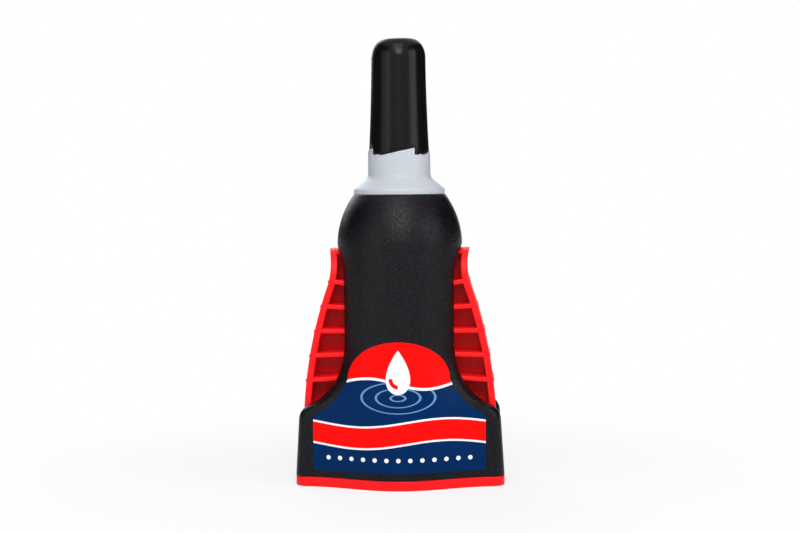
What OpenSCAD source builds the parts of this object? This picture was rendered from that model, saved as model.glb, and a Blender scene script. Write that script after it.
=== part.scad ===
// Side-squeeze bottle for instant glue: a shell on a wide foot, two hinged side grips,
// a clear nozzle and a twist cap over its spout. Millimetres, +Z up, origin under the middle
// of the base, front towards -Y.

/* [Shell] */
// Radius of the round column
column_r = 13.5; // [12.5:0.1:14.5]
// Wall thickness of the shell
wall = 1.6; // [1.2:0.1:2]
// Height of the round column
column_h = 20; // [18:0.5:24]
// Height of the shoulder
shoulder_h = 11; // [9:0.5:13]
// Radius of the shoulder's arc
shoulder_r = 18.5; // [17:0.5:22]

/* [Foot] */
// Width of the foot where it meets the base plate
foot_w = 44.6; // [43.5:0.1:48]
// How far each side leans in towards the top of the foot
foot_lean = 0.7; // [0:0.05:1.2]
// Depth of the foot at its two ends
foot_end_depth = 18.6; // [17.5:0.1:21]
// How far the middle of the foot's front stands out from the column
foot_front = 1.6; // [0.5:0.1:2]
// Half the width over which the bulge spreads
bulge_half_w = 21; // [18:0.5:22]
// Radius of the foot's upright corners
foot_corner_r = 2.5; // [1:0.1:3]
// Radius of the rounding on top of the foot's ends
foot_fillet_r = 3.5; // [2:0.1:4]
// Radius of the concave flare between foot and column
flare_r = 13; // [11:0.5:15]
// Height at which the flare runs upright into the column
flare_z = 29; // [27.5:0.5:32]
// Height above the flare at which the plan has become fully round
round_rise = 2; // [1:0.1:3]
// Height at which the plan starts to change from foot to column
foot_blend_z = 13; // [10:0.5:15]
// Width over which the foot's wings round into the column
wing_blend = 4; // [2:0.5:6]
// Thickness of the base plate's visible rim
base_t = 2.1; // [1.5:0.1:3]

/* [Windows] */
// Width of each side window
window_w = 13; // [11:0.5:14]
// Height of the foot's side wall under the window
sill_z = 13.5; // [12:0.1:13.8]
// Thickness of that wall at its top
sill_wall = 0.65; // [0.5:0.05:0.9]
// Gap between the grip and that wall
slot_gap = 0.3; // [0.2:0.05:0.4]

/* [Grips] */
// Gap between a grip and the window around it
grip_gap = 0.5; // [0.3:0.1:0.8]
// How far below the side wall's top the grip's outer curve stands upright
reach_drop = 2.2; // [1:0.1:4]
// Radius of the finger rest at the top
grip_rest_r = 13; // [11:0.5:16]
// How far the finger rest stands out from the column
rest_stand = 1.1; // [0.6:0.1:1.8]
// Height from the finger rest to the grip's tip
rest_drop = 3.7; // [3:0.1:4.5]
// How far the strip goes down behind the side wall
strip_drop = 1; // [0.5:0.1:1.5]
// Thickness of the outer strip
strip_t = 1.45; // [1:0.05:1.8]
// Thickness of the web behind the rungs
web_t = 1.5; // [1:0.1:2.5]
// Thickness of the rim across the grip's tip
tip_t = 1.2; // [0.8:0.1:1.6]
// How far that rim and the web below it reach in behind the window's edge
tip_lap = 1; // [0.5:0.1:1.5]
// Number of rungs
rung_count = 5; // [3:1:7]
// Thickness of a rung
rung_t = 1; // [0.6:0.1:1.6]
// Distance from the rungs to the point they fan out from
rung_fan_r = 87; // [70:1:120]
// Height of that point
rung_fan_z = 31.9; // [30:0.1:34]
// Slope of the top rung
rung_top_deg = 7.6; // [4:0.1:9]
// Slope of the bottom rung
rung_bottom_deg = -6.3; // [-8:0.1:-3]
// Radius of the ridge on the outer face at each rung
ridge_r = 0.45; // [0.3:0.05:0.8]
// Thickness of the presser pad
pad_t = 1.2; // [0.8:0.1:1.6]
// Width of the presser pad
pad_w = 9; // [6:0.5:10]
// Height of the presser pad
pad_h = 21; // [16:0.5:23]
// Height of the pad above the cradle that holds the bottle
pad_lift = 5; // [3:0.5:7]
// Gap between the pad and the bottle
pad_gap = 0.3; // [0.2:0.1:0.6]

/* [Grip hinges] */
// Distance of each hinge axis inside the grip's farthest reach
hinge_inset = 2.68; // [2.5:0.02:3.2]
// Gap between the hinge's boss and the rim below it
hinge_gap = 0.3; // [0.2:0.05:0.5]
// Radius of the hinge pins
hinge_pin_r = 1.5; // [1.2:0.1:1.7]
// Running clearance around the pins
hinge_clearance = 0.05; // [0.03:0.01:0.1]
// Wall around the pin on the grip's arm
hinge_boss_wall = 0.8; // [0.5:0.1:1]
// Width of the grip's arm between its cheeks
arm_w = 7.2; // [6:0.1:8]
// Thickness of the grip's arm
arm_t = 2.6; // [2:0.1:3]
// Height over which the arm laps the strip above the side wall
arm_lap = 1; // [0.5:0.1:2]
// Thickness of each cheek that holds a pin
cheek_t = 2.4; // [1.6:0.1:2.6]
// Gap between the arm and a cheek
cheek_gap = 0.3; // [0.2:0.1:0.4]
// Height of the locating rim on the base plate
spigot_h = 1.8; // [1.2:0.1:2.4]
// Thickness of the locating rim
spigot_t = 1.2; // [0.8:0.1:1.4]
// Gap between the locating rim and the shell
spigot_gap = 0.1; // [0.05:0.05:0.2]

/* [Inner bottle] */
// Outer radius of the inner bottle
bottle_r = 8; // [7:0.1:8.4]
// Wall of the inner bottle
bottle_wall = 0.8; // [0.5:0.1:1]
// Height of the bottle's underside
bottle_base_z = 16; // [14:0.5:18]
// Depth at which the bottle's shoulder starts below the shell's top
bottle_shoulder_drop = 16; // [14:0.5:17]
// Height of the bottle's shoulder
bottle_shoulder_h = 8; // [6:0.5:9]
// Outer radius of the neck
neck_r = 4.5; // [4:0.1:4.8]
// Height of the neck above the shell's top
neck_h = 4.4; // [3.5:0.1:5]
// Gap around the neck
neck_gap = 0.15; // [0.1:0.05:0.3]
// Reach of the collar ring under the shell's top beyond the neck
neck_ring = 1.9; // [1:0.1:2.5]
// Thickness of that ring
neck_ring_t = 1.4; // [1:0.1:2]
// Height of glue in the bottle
glue_h = 23.6; // [10:0.1:26]
// Gap between the glue and the bottle's wall
glue_gap = 0.05; // [0.02:0.01:0.1]
// Height of the lip that holds the bottle's foot
cradle_lip_h = 3; // [2:0.1:4]
// Wall of the cradle
cradle_wall = 1.4; // [1:0.1:1.8]
// Gap between the cradle's lip and the bottle
cradle_gap = 0.15; // [0.1:0.05:0.3]
// Thickness of the sealing washer in the neck
seal_t = 0.4; // [0.3:0.05:0.6]
// Radius of the hole in the sealing washer
seal_hole_r = 1.8; // [1.2:0.1:2.2]

/* [Nozzle] */
// How far the flange stays inside the shell's top edge
flange_step = 0.05; // [0.05:0.05:0.5]
// Thickness of the flange's rim
flange_t = 1.1; // [0.5:0.1:1.2]
// Height of the cone between flange and collar
flange_cone_h = 2.5; // [1.5:0.1:3.5]
// Height from the shell's top to the cap's lowest rim
collar_h = 8.6; // [7.8:0.1:10]
// How far the collar stands out from the cap's rim
collar_step = 0.2; // [0:0.05:0.3]
// Wall of the collar's rim
collar_wall = 1.15; // [0.9:0.05:1.3]
// Depth of the groove inside the collar's rim
collar_groove = 1; // [0.5:0.1:1.5]
// Radius of the boss inside the cap
boss_r = 4.4; // [3.8:0.1:4.6]
// Height of the boss above the cap's rim
boss_h = 5.4; // [4:0.1:7]
// Height of the step from the boss to the spout
boss_step = 0.8; // [0.5:0.1:1.5]
// Radius of the spout where it leaves the boss
spout_r = 3.1; // [2.5:0.1:3.6]
// Radius of the spout's tip
tip_r = 1; // [0.8:0.1:1.3]
// Radius of the orifice
orifice_r = 0.5; // [0.45:0.05:0.6]
// Length of the orifice
orifice_h = 6; // [4:0.5:8]
// Wall of the spout at the boss
spout_wall = 1.1; // [0.7:0.1:1.4]

/* [Cap] */
// Height of the cap
cap_h = 24.7; // [23:0.1:27]
// Radius of the cap at its lower rim
cap_rim_r = 6.5; // [6.3:0.05:7]
// Radius of the cap below its domed top
cap_top_r = 5.85; // [5.5:0.05:6.2]
// Height of the domed top
cap_dome_h = 4.1; // [3:0.1:5.5]
// Radius of the flat on the domed top
cap_flat_r = 2.9; // [2:0.1:4]
// Wall of the cap
cap_wall = 1.05; // [0.8:0.05:1.1]
// Thickness of the cap's crown
crown_t = 1.4; // [1:0.1:2]
// Number of cam teeth
cam_teeth = 4; // [2:1:6]
// Rise of each cam tooth
cam_rise = 1.5; // [0.8:0.1:2]
// Angle of the flat at the foot of each tooth
cam_flat_deg = 27; // [15:1:35]
// Angle from the right-hand side to a tooth's upright face
cam_phase_deg = -56.5; // [-90:0.5:0]
// Gap between the cam faces of cap and collar
cam_gap = 0.2; // [0.1:0.05:0.3]
// Thickness of the stopper's disc
plug_t = 1.9; // [1.2:0.1:2.5]
// Gap around the stopper
plug_gap = 0.05; // [0.03:0.01:0.1]
// Gap between the stopper and the spout's tip
tip_gap = 0.45; // [0.3:0.05:0.6]
// Length of the stopper's skirt
skirt_h = 3.4; // [2:0.1:5]
// Wall of the stopper's skirt
skirt_wall = 0.8; // [0.5:0.1:1.2]
// Radius of the steel pin
pin_r = 0.3; // [0.2:0.05:0.35]
// Reach of the steel pin into the orifice
pin_reach = 5; // [3:0.5:7]

/* [Labels] */
// Thickness of a label
label_t = 0.12; // [0.08:0.02:0.2]
// Layer of adhesive between label and shell
label_gap = 0.06; // [0.06:0.01:0.1]
// Distance from the label's edge to the flare's edge
label_margin = 2.2; // [1.5:0.1:3]
// Height of the label's lower edge
label_bottom_z = 3.7; // [3:0.1:6]
// Distance from the label to the ends of the foot
label_end = 4; // [3.5:0.05:6]
// Height at which the label's domed top starts
label_waist_z = 23.1; // [21:0.1:25]
// Height of the label's domed top
label_dome_h = 8.1; // [6:0.1:10]

/* [Hidden] */
$fn = 96;

// One overrun for every cut, and the small step that hides the seam between foot and column
overrun = 1;
seam_step = 0.02;
seam_lap = 0.5;

// Counts of steps along the curves
plan_steps = 24;
arc_steps = 10;
cam_steps = 6;

// Heights of the shell
column_z = flare_z + round_rise;
shoulder_z = column_z + column_h;
shell_top_z = shoulder_z + shoulder_h;

// How far the foot's front bulges beyond its ends
foot_bulge = column_r + foot_front - foot_end_depth / 2;

// Edge of the flare in the front view: side line, fillet, concave flare, upright
window_half = window_w / 2;
flare_x = sqrt(pow(column_r, 2) - pow(window_half, 2));
flare_cx = flare_x + flare_r;
fillet_x = foot_w / 2 - foot_lean - foot_fillet_r;
fillet_dist = flare_r + foot_fillet_r;
fillet_rise = sqrt(pow(fillet_dist, 2) - pow(flare_cx - fillet_x, 2));
fillet_z = flare_z - fillet_rise;
fillet_deg = atan2(fillet_rise, flare_cx - fillet_x);
fillet_end_z = fillet_z + foot_fillet_r * sin(fillet_deg);

// Widest radius of the wing edge where it dies into the column
wing_edge_r = 0.3;

// Windows and grips
window_arch_z = shoulder_z - window_half;
window_in_x = sqrt(pow(column_r - wall, 2) - pow(window_half, 2)) - overrun;
slot_x = foot_w / 2 - foot_lean * (sill_z - base_t) / (fillet_z - base_t) - sill_wall;
grip_half = window_half - grip_gap;
grip_tip_z = window_arch_z + grip_half;
grip_reach = slot_x - slot_gap;
grip_reach_z = sill_z - reach_drop;
grip_rest_x = column_r + rest_stand;
rest_z = grip_tip_z - rest_drop;
rest_cx = grip_rest_x + grip_rest_r;
grip_arcs_r = (pow(grip_reach - grip_rest_x, 2) + pow(rest_z - grip_reach_z, 2))
    / (2 * (grip_reach - grip_rest_x));
grip_belly_r = grip_arcs_r - grip_rest_r;
belly_cx = grip_reach - grip_belly_r;
belly_end_z = blend(grip_reach_z, rest_z, grip_belly_r / grip_arcs_r);
strip_bottom_z = sill_z - strip_drop;
pad_x = bottle_r + pad_gap;
pad_bottom_z = bottle_base_z + cradle_lip_h + pad_lift;
pad_top_z = pad_bottom_z + pad_h;
fan_x = grip_rest_x - rung_fan_r;

// Hinges
hinge_boss_r = hinge_pin_r + hinge_boss_wall;
hinge_x = grip_reach - hinge_inset;
hinge_z = base_t + spigot_h + hinge_gap + hinge_boss_r;
cheek_r = hinge_pin_r + hinge_clearance + hinge_boss_wall;
cheek_y = arm_w / 2 + cheek_gap;
snap_share = 0.8;

// Neck, nozzle and cap heights
neck_top_z = shell_top_z + neck_h;
bottle_shoulder_z = shell_top_z - bottle_shoulder_drop;
ring_top_z = shell_top_z - wall - neck_gap;
nozzle_bore_r = neck_r + neck_gap;
deck_z = neck_top_z + seal_t;
flange_r = column_r - shoulder_r + chord(shoulder_r, shoulder_h) - flange_step;
collar_r = cap_rim_r + collar_step;
cap_z = shell_top_z + collar_h;
groove_z = cap_z - cam_gap - collar_groove;
boss_top_z = cap_z + boss_h;
spout_z = boss_top_z + boss_step;
cap_top_z = cap_z + cap_h;
cap_dome_z = cap_top_z - cap_dome_h;
cap_bore_r = cap_top_r - cap_wall;
crown_z = cap_top_z - crown_t;
plug_top_z = crown_z - plug_gap;
plug_z = plug_top_z - plug_t;
tip_z = plug_z - tip_gap;
cam_slope_deg = 360 / cam_teeth - cam_flat_deg;
cam_gap_deg = asin(cam_gap / cap_rim_r);
cam_top_z = cap_z + cam_rise - cam_gap;
cap_taper_power = 1.6;

function smooth(t) = let (s = min(max(t, 0), 1)) s * s * (3 - 2 * s);
function blend(a, b, t) = a + (b - a) * t;
function chord(r, d) = sqrt(max(pow(r, 2) - pow(d, 2), 0));
function soft_min(a, b, k) = (a + b - sqrt(pow(a - b, 2) + pow(k, 2))) / 2;

// Half the width of the foot and flare at height z
function side_x(z) =
    z <= fillet_z ? foot_w / 2 - foot_lean * (z - base_t) / (fillet_z - base_t) :
    z <= fillet_end_z ? fillet_x + chord(foot_fillet_r, z - fillet_z) :
    z <= flare_z ? flare_cx - chord(flare_r, flare_z - z) : flare_x;

// Half the depth of the foot's plan, a flat end with a cosine bulge in the middle
function foot_y(x) =
    foot_end_depth / 2 + foot_bulge * (1 + cos(180 * min(abs(x) / bulge_half_w, 1))) / 2;

// Share of the change from the foot's plan to the column's
function column_share(z) = smooth((z - foot_blend_z) / (column_z - foot_blend_z));

// Half the depth of the shell at x and z, taken in by inset
function depth(x, z, inset) =
    let (
        share = column_share(z),
        round_x = soft_min(abs(x), flare_x - inset, wing_blend * (1 - share))
    )
    blend(foot_y(x) - inset, chord(column_r - seam_step - inset, round_x), share);

// Outline of the shell at height z, taken in by inset, with rounded upright corners
function plan(z, inset) =
    let (
        half = side_x(z) - inset,
        r = blend(foot_corner_r, wing_edge_r, column_share(z)),
        across = [for (i = [0:plan_steps]) half * sin(180 * i / plan_steps - 90)],
        half_y = [for (x = across) depth(x, z, inset) - r + chord(r, max(abs(x) - half + r, 0))]
    )
    concat(
        [for (i = [0:plan_steps]) [across[i], -half_y[i]]],
        [for (i = [plan_steps:-1:0]) [across[i], half_y[i]]]
    );

// Heights of the sections through foot and flare
plan_heights = concat(
    [base_t, fillet_z],
    [for (i = [1:arc_steps / 2]) fillet_z + foot_fillet_r * sin(fillet_deg * 2 * i / arc_steps)],
    [for (i = [1:arc_steps - 1]) flare_z - flare_r * sin(fillet_deg * (1 - i / arc_steps))],
    [flare_z, column_z, column_z + seam_lap]
);

// Closed skin over a stack of rings with equal point counts, each ring out along one side and back
// along the other, so that its ends close like a ladder
module skin(rings) {
    n = len(rings[0]);
    top = n * (len(rings) - 1);
    sides = [
        for (k = [0:len(rings) - 2], i = [0:n - 1])
        let (a = k * n + i, b = k * n + (i + 1) % n)
        each [[a, a + n, b + n], [a, b + n, b]]
    ];
    ends = [
        for (a = [0:n / 2 - 2])
        let (b = a + 1, c = n - 1 - b, d = n - 1 - a)
        each [[a, b, c], [a, c, d], [top + c, top + b, top + a], [top + d, top + c, top + a]]
    ];
    polyhedron([for (ring = rings) each ring], concat(sides, ends));
}

// Foot and flare, taken in by inset and lengthened at the bottom by drop
module foot_body(inset, drop) {
    skin([
        for (k = [0:len(plan_heights) - 1])
        let (z = plan_heights[k])
        [for (p = plan(z, inset)) [p[0], p[1], z - (k == 0 ? drop : 0)]]
    ]);
}

// Column and shoulder, taken in by inset
module column_body(inset) {
    rise = shell_top_z - inset - shoulder_z;
    shoulder = [
        for (i = [0:arc_steps])
        let (z = shoulder_z + rise * i / arc_steps)
        [column_r - shoulder_r + chord(shoulder_r - inset, z - shoulder_z), z]
    ];
    rotate_extrude()
        polygon(concat(
            [[0, column_z - inset / 2], [column_r - inset, column_z - inset / 2]],
            shoulder,
            [[0, shell_top_z - inset]]
        ));
}

// A block from x0 to x1 and z0 to z1, centred on y with width w
module slab(x0, x1, w, z0, z1) {
    translate([x0, -w / 2, z0])
        cube([x1 - x0, w, z1 - z0]);
}

// Round bar along y at x and z
module bar_y(x, z, r, w) {
    translate([x, w / 2, z])
        rotate([90, 0, 0])
            cylinder(r = r, h = w);
}

// An outline in x and z, made w thick across y
module plate_y(points, w) {
    translate([0, w / 2, 0])
        rotate([90, 0, 0])
            linear_extrude(w)
                polygon(points);
}

module window_cut() {
    far_x = foot_w / 2 + overrun;
    slab(window_in_x, slot_x, window_w, base_t - overrun, window_arch_z);
    slab(window_in_x, far_x, window_w, sill_z, window_arch_z);
    translate([window_in_x, 0, window_arch_z])
        rotate([0, 90, 0])
            cylinder(r = window_half, h = far_x - window_in_x);
}

module outer_shell() {
    color([0.11, 0.11, 0.13])
        difference() {
            union() {
                foot_body(0, 0);
                column_body(0);
            }
            foot_body(wall, overrun);
            column_body(wall);
            translate([0, 0, shell_top_z - wall - overrun])
                cylinder(r = nozzle_bore_r, h = wall + 2 * overrun);
            window_cut();
            mirror([1, 0, 0])
                window_cut();
        }
}

// Pair of cheeks with snap-in bores for a grip's pins
module hinge_cheeks() {
    bore_r = hinge_pin_r + hinge_clearance;
    span = 2 * (cheek_y + cheek_t);
    difference() {
        union() {
            slab(hinge_x - cheek_r, hinge_x + cheek_r, span, base_t - seam_step, hinge_z);
            bar_y(hinge_x, hinge_z, cheek_r, span);
        }
        slab(hinge_x - cheek_r - overrun, hinge_x + cheek_r + overrun, 2 * cheek_y, base_t,
            hinge_z + cheek_r + overrun);
        bar_y(hinge_x, hinge_z, bore_r, span + 2 * overrun);
        slab(hinge_x - bore_r * snap_share, hinge_x + bore_r * snap_share, span + 2 * overrun,
            hinge_z, hinge_z + cheek_r + overrun);
    }
}

module base_plate() {
    seat_r = bottle_r + cradle_gap;
    color([0.9, 0.06, 0.07]) {
        linear_extrude(base_t)
            polygon(plan(base_t, 0));
        translate([0, 0, base_t - seam_step])
            linear_extrude(spigot_h)
                difference() {
                    polygon(plan(base_t, wall + spigot_gap));
                    polygon(plan(base_t, wall + spigot_gap + spigot_t));
                }
        hinge_cheeks();
        mirror([1, 0, 0])
            hinge_cheeks();
        rotate_extrude()
            polygon([
                [seat_r - cradle_wall, base_t - seam_step],
                [seat_r + cradle_wall, base_t - seam_step],
                [seat_r + cradle_wall, bottle_base_z + cradle_lip_h],
                [seat_r, bottle_base_z + cradle_lip_h],
                [seat_r, bottle_base_z],
                [seat_r - cradle_wall, bottle_base_z]
            ]);
    }
}

// Outer curve of a grip, and the same curve taken in by inset
function belly_x(z, inset) = belly_cx + chord(grip_belly_r - inset, z - grip_reach_z);
function rest_x(z, inset) = rest_cx - chord(grip_rest_r + inset, z - rest_z);
function grip_x(z, inset) = z <= belly_end_z ? belly_x(z, inset) : rest_x(z, inset);

// That curve from the strip's foot to just past its tip
function grip_curve(inset) = concat(
    [
        for (i = [0:arc_steps])
        let (z = blend(strip_bottom_z, belly_end_z, i / arc_steps))
        [belly_x(z, inset), z]
    ],
    [
        for (i = [1:arc_steps])
        let (z = blend(belly_end_z, grip_tip_z + overrun, i / arc_steps))
        [rest_x(z, inset), z]
    ]
);
function reversed(points) = [for (i = [len(points) - 1:-1:0]) points[i]];

module grip_strip() {
    plate_y(concat(grip_curve(0), reversed(grip_curve(strip_t))), 2 * grip_half);
}

// Web from the strip to the presser pad, and up to the rim across the tip
module grip_web() {
    tip_in_x = flare_x - tip_lap;
    pad_mid_x = pad_x + pad_t / 2;
    plate_y(concat(
        grip_curve(strip_t / 2),
        [
            [tip_in_x, grip_tip_z + overrun],
            [tip_in_x, pad_top_z],
            [pad_mid_x, pad_top_z],
            [pad_mid_x, pad_bottom_z]
        ]
    ), web_t);
    slab(pad_x, pad_x + pad_t, pad_w, pad_bottom_z, pad_top_z);
    slab(tip_in_x, rest_x(grip_tip_z, strip_t / 2), 2 * grip_half, grip_tip_z - tip_t, grip_tip_z + overrun);
}

module grip_rungs() {
    for (i = [0:rung_count - 1]) {
        slope = blend(rung_top_deg, rung_bottom_deg, i / (rung_count - 1));
        end_z = rung_fan_z + rung_fan_r * tan(slope);
        end_r = (grip_x(end_z, strip_t / 2) - fan_x) / cos(slope);
        translate([fan_x, 0, rung_fan_z])
            rotate([0, -slope, 0])
                slab(pad_x + pad_t - fan_x, end_r, 2 * grip_half, -rung_t / 2, rung_t / 2);
        bar_y(grip_x(end_z, ridge_r / 2), end_z, ridge_r, 2 * grip_half);
    }
}

module grip_arm() {
    join_z = sill_z + arm_lap;
    join_x = belly_x(join_z, 0);
    plate_y([
        [hinge_x - hinge_boss_r, hinge_z],
        [hinge_x + hinge_boss_r, hinge_z],
        [join_x, join_z],
        [join_x - arm_t, join_z]
    ], arm_w);
    bar_y(hinge_x, hinge_z, hinge_boss_r, arm_w);
    bar_y(hinge_x, hinge_z, hinge_pin_r, 2 * (cheek_y + cheek_t));
}

// Right-hand grip: ladder of rungs behind a curved strip, cut to the window's arch
module grip() {
    color([0.95, 0.1, 0.12]) {
        intersection() {
            union() {
                grip_strip();
                grip_web();
                grip_rungs();
            }
            union() {
                slab(0, foot_w, 2 * grip_half, 0, window_arch_z);
                translate([0, 0, window_arch_z])
                    rotate([0, 90, 0])
                        cylinder(r = grip_half, h = foot_w);
            }
        }
        grip_arm();
    }
}

module right_grip() {
    grip();
}

module left_grip() {
    mirror([1, 0, 0])
        grip();
}

// Bottle's profile from the foot to the mouth, taken in by inset
function bottle_profile(inset) =
    let (slim_r = neck_r + neck_gap)
    concat(
        [[bottle_r - inset, bottle_base_z + inset]],
        [
            for (i = [0:arc_steps])
            let (t = i / arc_steps)
            [blend(bottle_r, slim_r, smooth(t)) - inset, bottle_shoulder_z + bottle_shoulder_h * t]
        ]
    );

module inner_bottle() {
    color([0.93, 0.94, 0.95])
        difference() {
            rotate_extrude()
                polygon(concat(
                    [[0, bottle_base_z]],
                    bottle_profile(0),
                    [
                        [neck_r + neck_gap, ring_top_z - neck_ring_t],
                        [neck_r + neck_ring, ring_top_z - neck_ring_t],
                        [neck_r + neck_ring, ring_top_z],
                        [neck_r, ring_top_z],
                        [neck_r, neck_top_z],
                        [0, neck_top_z]
                    ]
                ));
            rotate_extrude()
                polygon(concat(
                    [[0, bottle_base_z + bottle_wall]],
                    bottle_profile(bottle_wall),
                    [
                        [neck_r - bottle_wall, ring_top_z],
                        [neck_r - bottle_wall, neck_top_z + overrun],
                        [0, neck_top_z + overrun]
                    ]
                ));
        }
}

module glue_fill() {
    color([0.86, 0.9, 0.93])
        translate([0, 0, bottle_base_z + bottle_wall + glue_gap])
            cylinder(r = bottle_r - bottle_wall - glue_gap, h = glue_h);
}

module neck_seal() {
    color([0.9, 0.9, 0.88])
        translate([0, 0, neck_top_z])
            difference() {
                cylinder(r = neck_r, h = seal_t);
                translate([0, 0, -overrun])
                    cylinder(r = seal_hole_r, h = seal_t + 2 * overrun);
            }
}

// Ring section at an angle, between two radii and two heights
function cam_ring(deg, r0, r1, z0, z1) = [
    for (p = [[r1, z1], [r1, z0], [r0, z0], [r0, z1]])
    [p[0] * cos(deg), p[0] * sin(deg), p[1]]
];

// Height of a tooth's ramp at an angle past its upright face, below zero over the flat
function ramp_z(deg) = cam_rise * (deg - cam_flat_deg) / cam_slope_deg;

// Height of the saw-tooth: the flat, then the ramp
function cam_z(deg) = max(ramp_z(deg), 0);

// What is cut from the cap's rim: a ramp that leaves the rim half a step before it rises
module cap_cam_cut() {
    step_deg = cam_slope_deg / cam_steps;
    degs = concat([cam_flat_deg - step_deg / 2], [for (i = [1:cam_steps]) cam_flat_deg + step_deg * i]);
    for (k = [0:cam_teeth - 1])
        rotate([0, 0, cam_phase_deg + 360 * k / cam_teeth])
            skin([
                for (deg = degs)
                cam_ring(deg, boss_r, cap_rim_r + overrun, cap_z - overrun, cap_z + ramp_z(deg))
            ]);
}

// What is cut from the collar's rim: the cap's teeth, with a gap below and beside them
module collar_cam_cut() {
    floor_z = cap_z - cam_gap;
    top_z = cam_top_z + overrun;
    for (k = [0:cam_teeth - 1])
        rotate([0, 0, cam_phase_deg + 360 * k / cam_teeth]) {
            degs = concat(
                [-cam_gap_deg, cam_flat_deg / 2, cam_flat_deg],
                [for (i = [1:cam_steps]) cam_flat_deg + (cam_slope_deg - cam_gap_deg) * i / cam_steps]
            );
            skin([
                for (deg = degs)
                cam_ring(deg, boss_r + cam_gap, collar_r + overrun, floor_z + cam_z(deg), top_z)
            ]);
        }
}

module nozzle() {
    collar_z = shell_top_z + flange_t + flange_cone_h;
    rim_r = collar_r - collar_wall;
    color([0.8, 0.85, 0.9])
        difference() {
            rotate_extrude()
                polygon([
                    [nozzle_bore_r, shell_top_z],
                    [flange_r, shell_top_z],
                    [flange_r, shell_top_z + flange_t],
                    [collar_r, collar_z],
                    [collar_r, cam_top_z],
                    [rim_r, cam_top_z],
                    [rim_r, groove_z],
                    [boss_r, groove_z],
                    [boss_r, boss_top_z],
                    [spout_r, spout_z],
                    [tip_r, tip_z],
                    [orifice_r, tip_z],
                    [orifice_r, tip_z - orifice_h],
                    [spout_r - spout_wall, spout_z],
                    [spout_r - spout_wall, deck_z],
                    [nozzle_bore_r, deck_z]
                ]);
            collar_cam_cut();
        }
}

// Radius of the cap's outside, a drawn-in taper under an elliptic shoulder that ends in the flat
function cap_r(z) =
    z <= cap_dome_z ?
        blend(cap_top_r, cap_rim_r, pow((cap_dome_z - z) / (cap_dome_z - cap_z), cap_taper_power)) :
        blend(cap_flat_r, cap_top_r, chord(1, (z - cap_dome_z) / cap_dome_h));

module cap_shell() {
    taper = [for (i = [0:arc_steps]) let (z = blend(cap_z, cap_dome_z, i / arc_steps)) [cap_r(z), z]];
    dome = [
        for (i = [1:arc_steps])
        let (z = cap_dome_z + cap_dome_h * sin(90 * i / arc_steps))
        [cap_r(z), z]
    ];
    color([0.13, 0.13, 0.13])
        difference() {
            rotate_extrude()
                polygon(concat(
                    taper,
                    dome,
                    [
                        [0, cap_top_z],
                        [0, crown_z],
                        [cap_bore_r, crown_z],
                        [cap_bore_r, plug_z - skirt_h],
                        [cap_rim_r - cap_wall, cap_z]
                    ]
                ));
            cap_cam_cut();
        }
}

// Radius of the spout's outside at height z
function spout_outer_r(z) =
    blend(tip_r, spout_r, (tip_z - z) / (tip_z - spout_z));

module cap_plug() {
    skirt_r = spout_outer_r(plug_z - skirt_h) + tip_gap;
    color([0.75, 0.76, 0.78])
        rotate_extrude()
            polygon([
                [pin_r, plug_z],
                [skirt_r, plug_z],
                [skirt_r, plug_z - skirt_h],
                [skirt_r + skirt_wall, plug_z - skirt_h],
                [skirt_r + skirt_wall, plug_z],
                [cap_bore_r - plug_gap, plug_z],
                [cap_bore_r - plug_gap, plug_top_z],
                [pin_r, plug_top_z]
            ]);
}

module anti_clog_pin() {
    color([0.7, 0.7, 0.72])
        translate([0, 0, tip_z - pin_reach])
            cylinder(r = pin_r, h = plug_top_z - tip_z + pin_reach);
}

// Half the width of the label below its dome
function label_x(z) =
    min(foot_w / 2 - label_end, flare_cx - chord(flare_r + label_margin, flare_z - z));

// Outline of the label in the front view: straight foot, flare, dome
label_edge = concat(
    [
        for (i = [0:arc_steps])
        let (z = blend(label_bottom_z, label_waist_z, i / arc_steps))
        [label_x(z), z]
    ],
    [
        for (i = [1:arc_steps])
        let (deg = 90 * i / arc_steps)
        [label_x(label_waist_z) * cos(deg), label_waist_z + label_dome_h * sin(deg)]
    ]
);

// Film that follows the front of the shell, larger all round than the label
module label_film() {
    half = foot_w / 2 - label_end + overrun;
    rows = [
        for (i = [0:2 * arc_steps])
        blend(label_bottom_z - overrun, label_waist_z + label_dome_h + overrun, i / (2 * arc_steps))
    ];
    skin([
        for (z = rows)
        let (across = [for (i = [0:plan_steps]) half * (2 * i / plan_steps - 1)])
        concat(
            [for (x = across) [x, -depth(x, z, 0) - label_gap - label_t, z]],
            [for (x = reversed(across)) [x, -depth(x, z, 0) - label_gap, z]]
        )
    ]);
}

module front_label() {
    color([0.05, 0.17, 0.35])
        intersection() {
            label_film();
            plate_y(concat(
                label_edge,
                [for (i = [len(label_edge) - 2:-1:0]) [-label_edge[i][0], label_edge[i][1]]]
            ), 2 * (foot_end_depth + foot_bulge));
        }
}

module back_label() {
    rotate([0, 0, 180])
        front_label();
}

outer_shell();
base_plate();
left_grip();
right_grip();
inner_bottle();
glue_fill();
neck_seal();
nozzle();
cap_shell();
cap_plug();
anti_clog_pin();
front_label();
back_label();
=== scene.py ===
"""A side-squeeze glue bottle: moulded skins over its solids, printed labels, studio light and a camera."""
import math

import bmesh
import bpy
import numpy as np
from mathutils import Matrix, Vector


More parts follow.
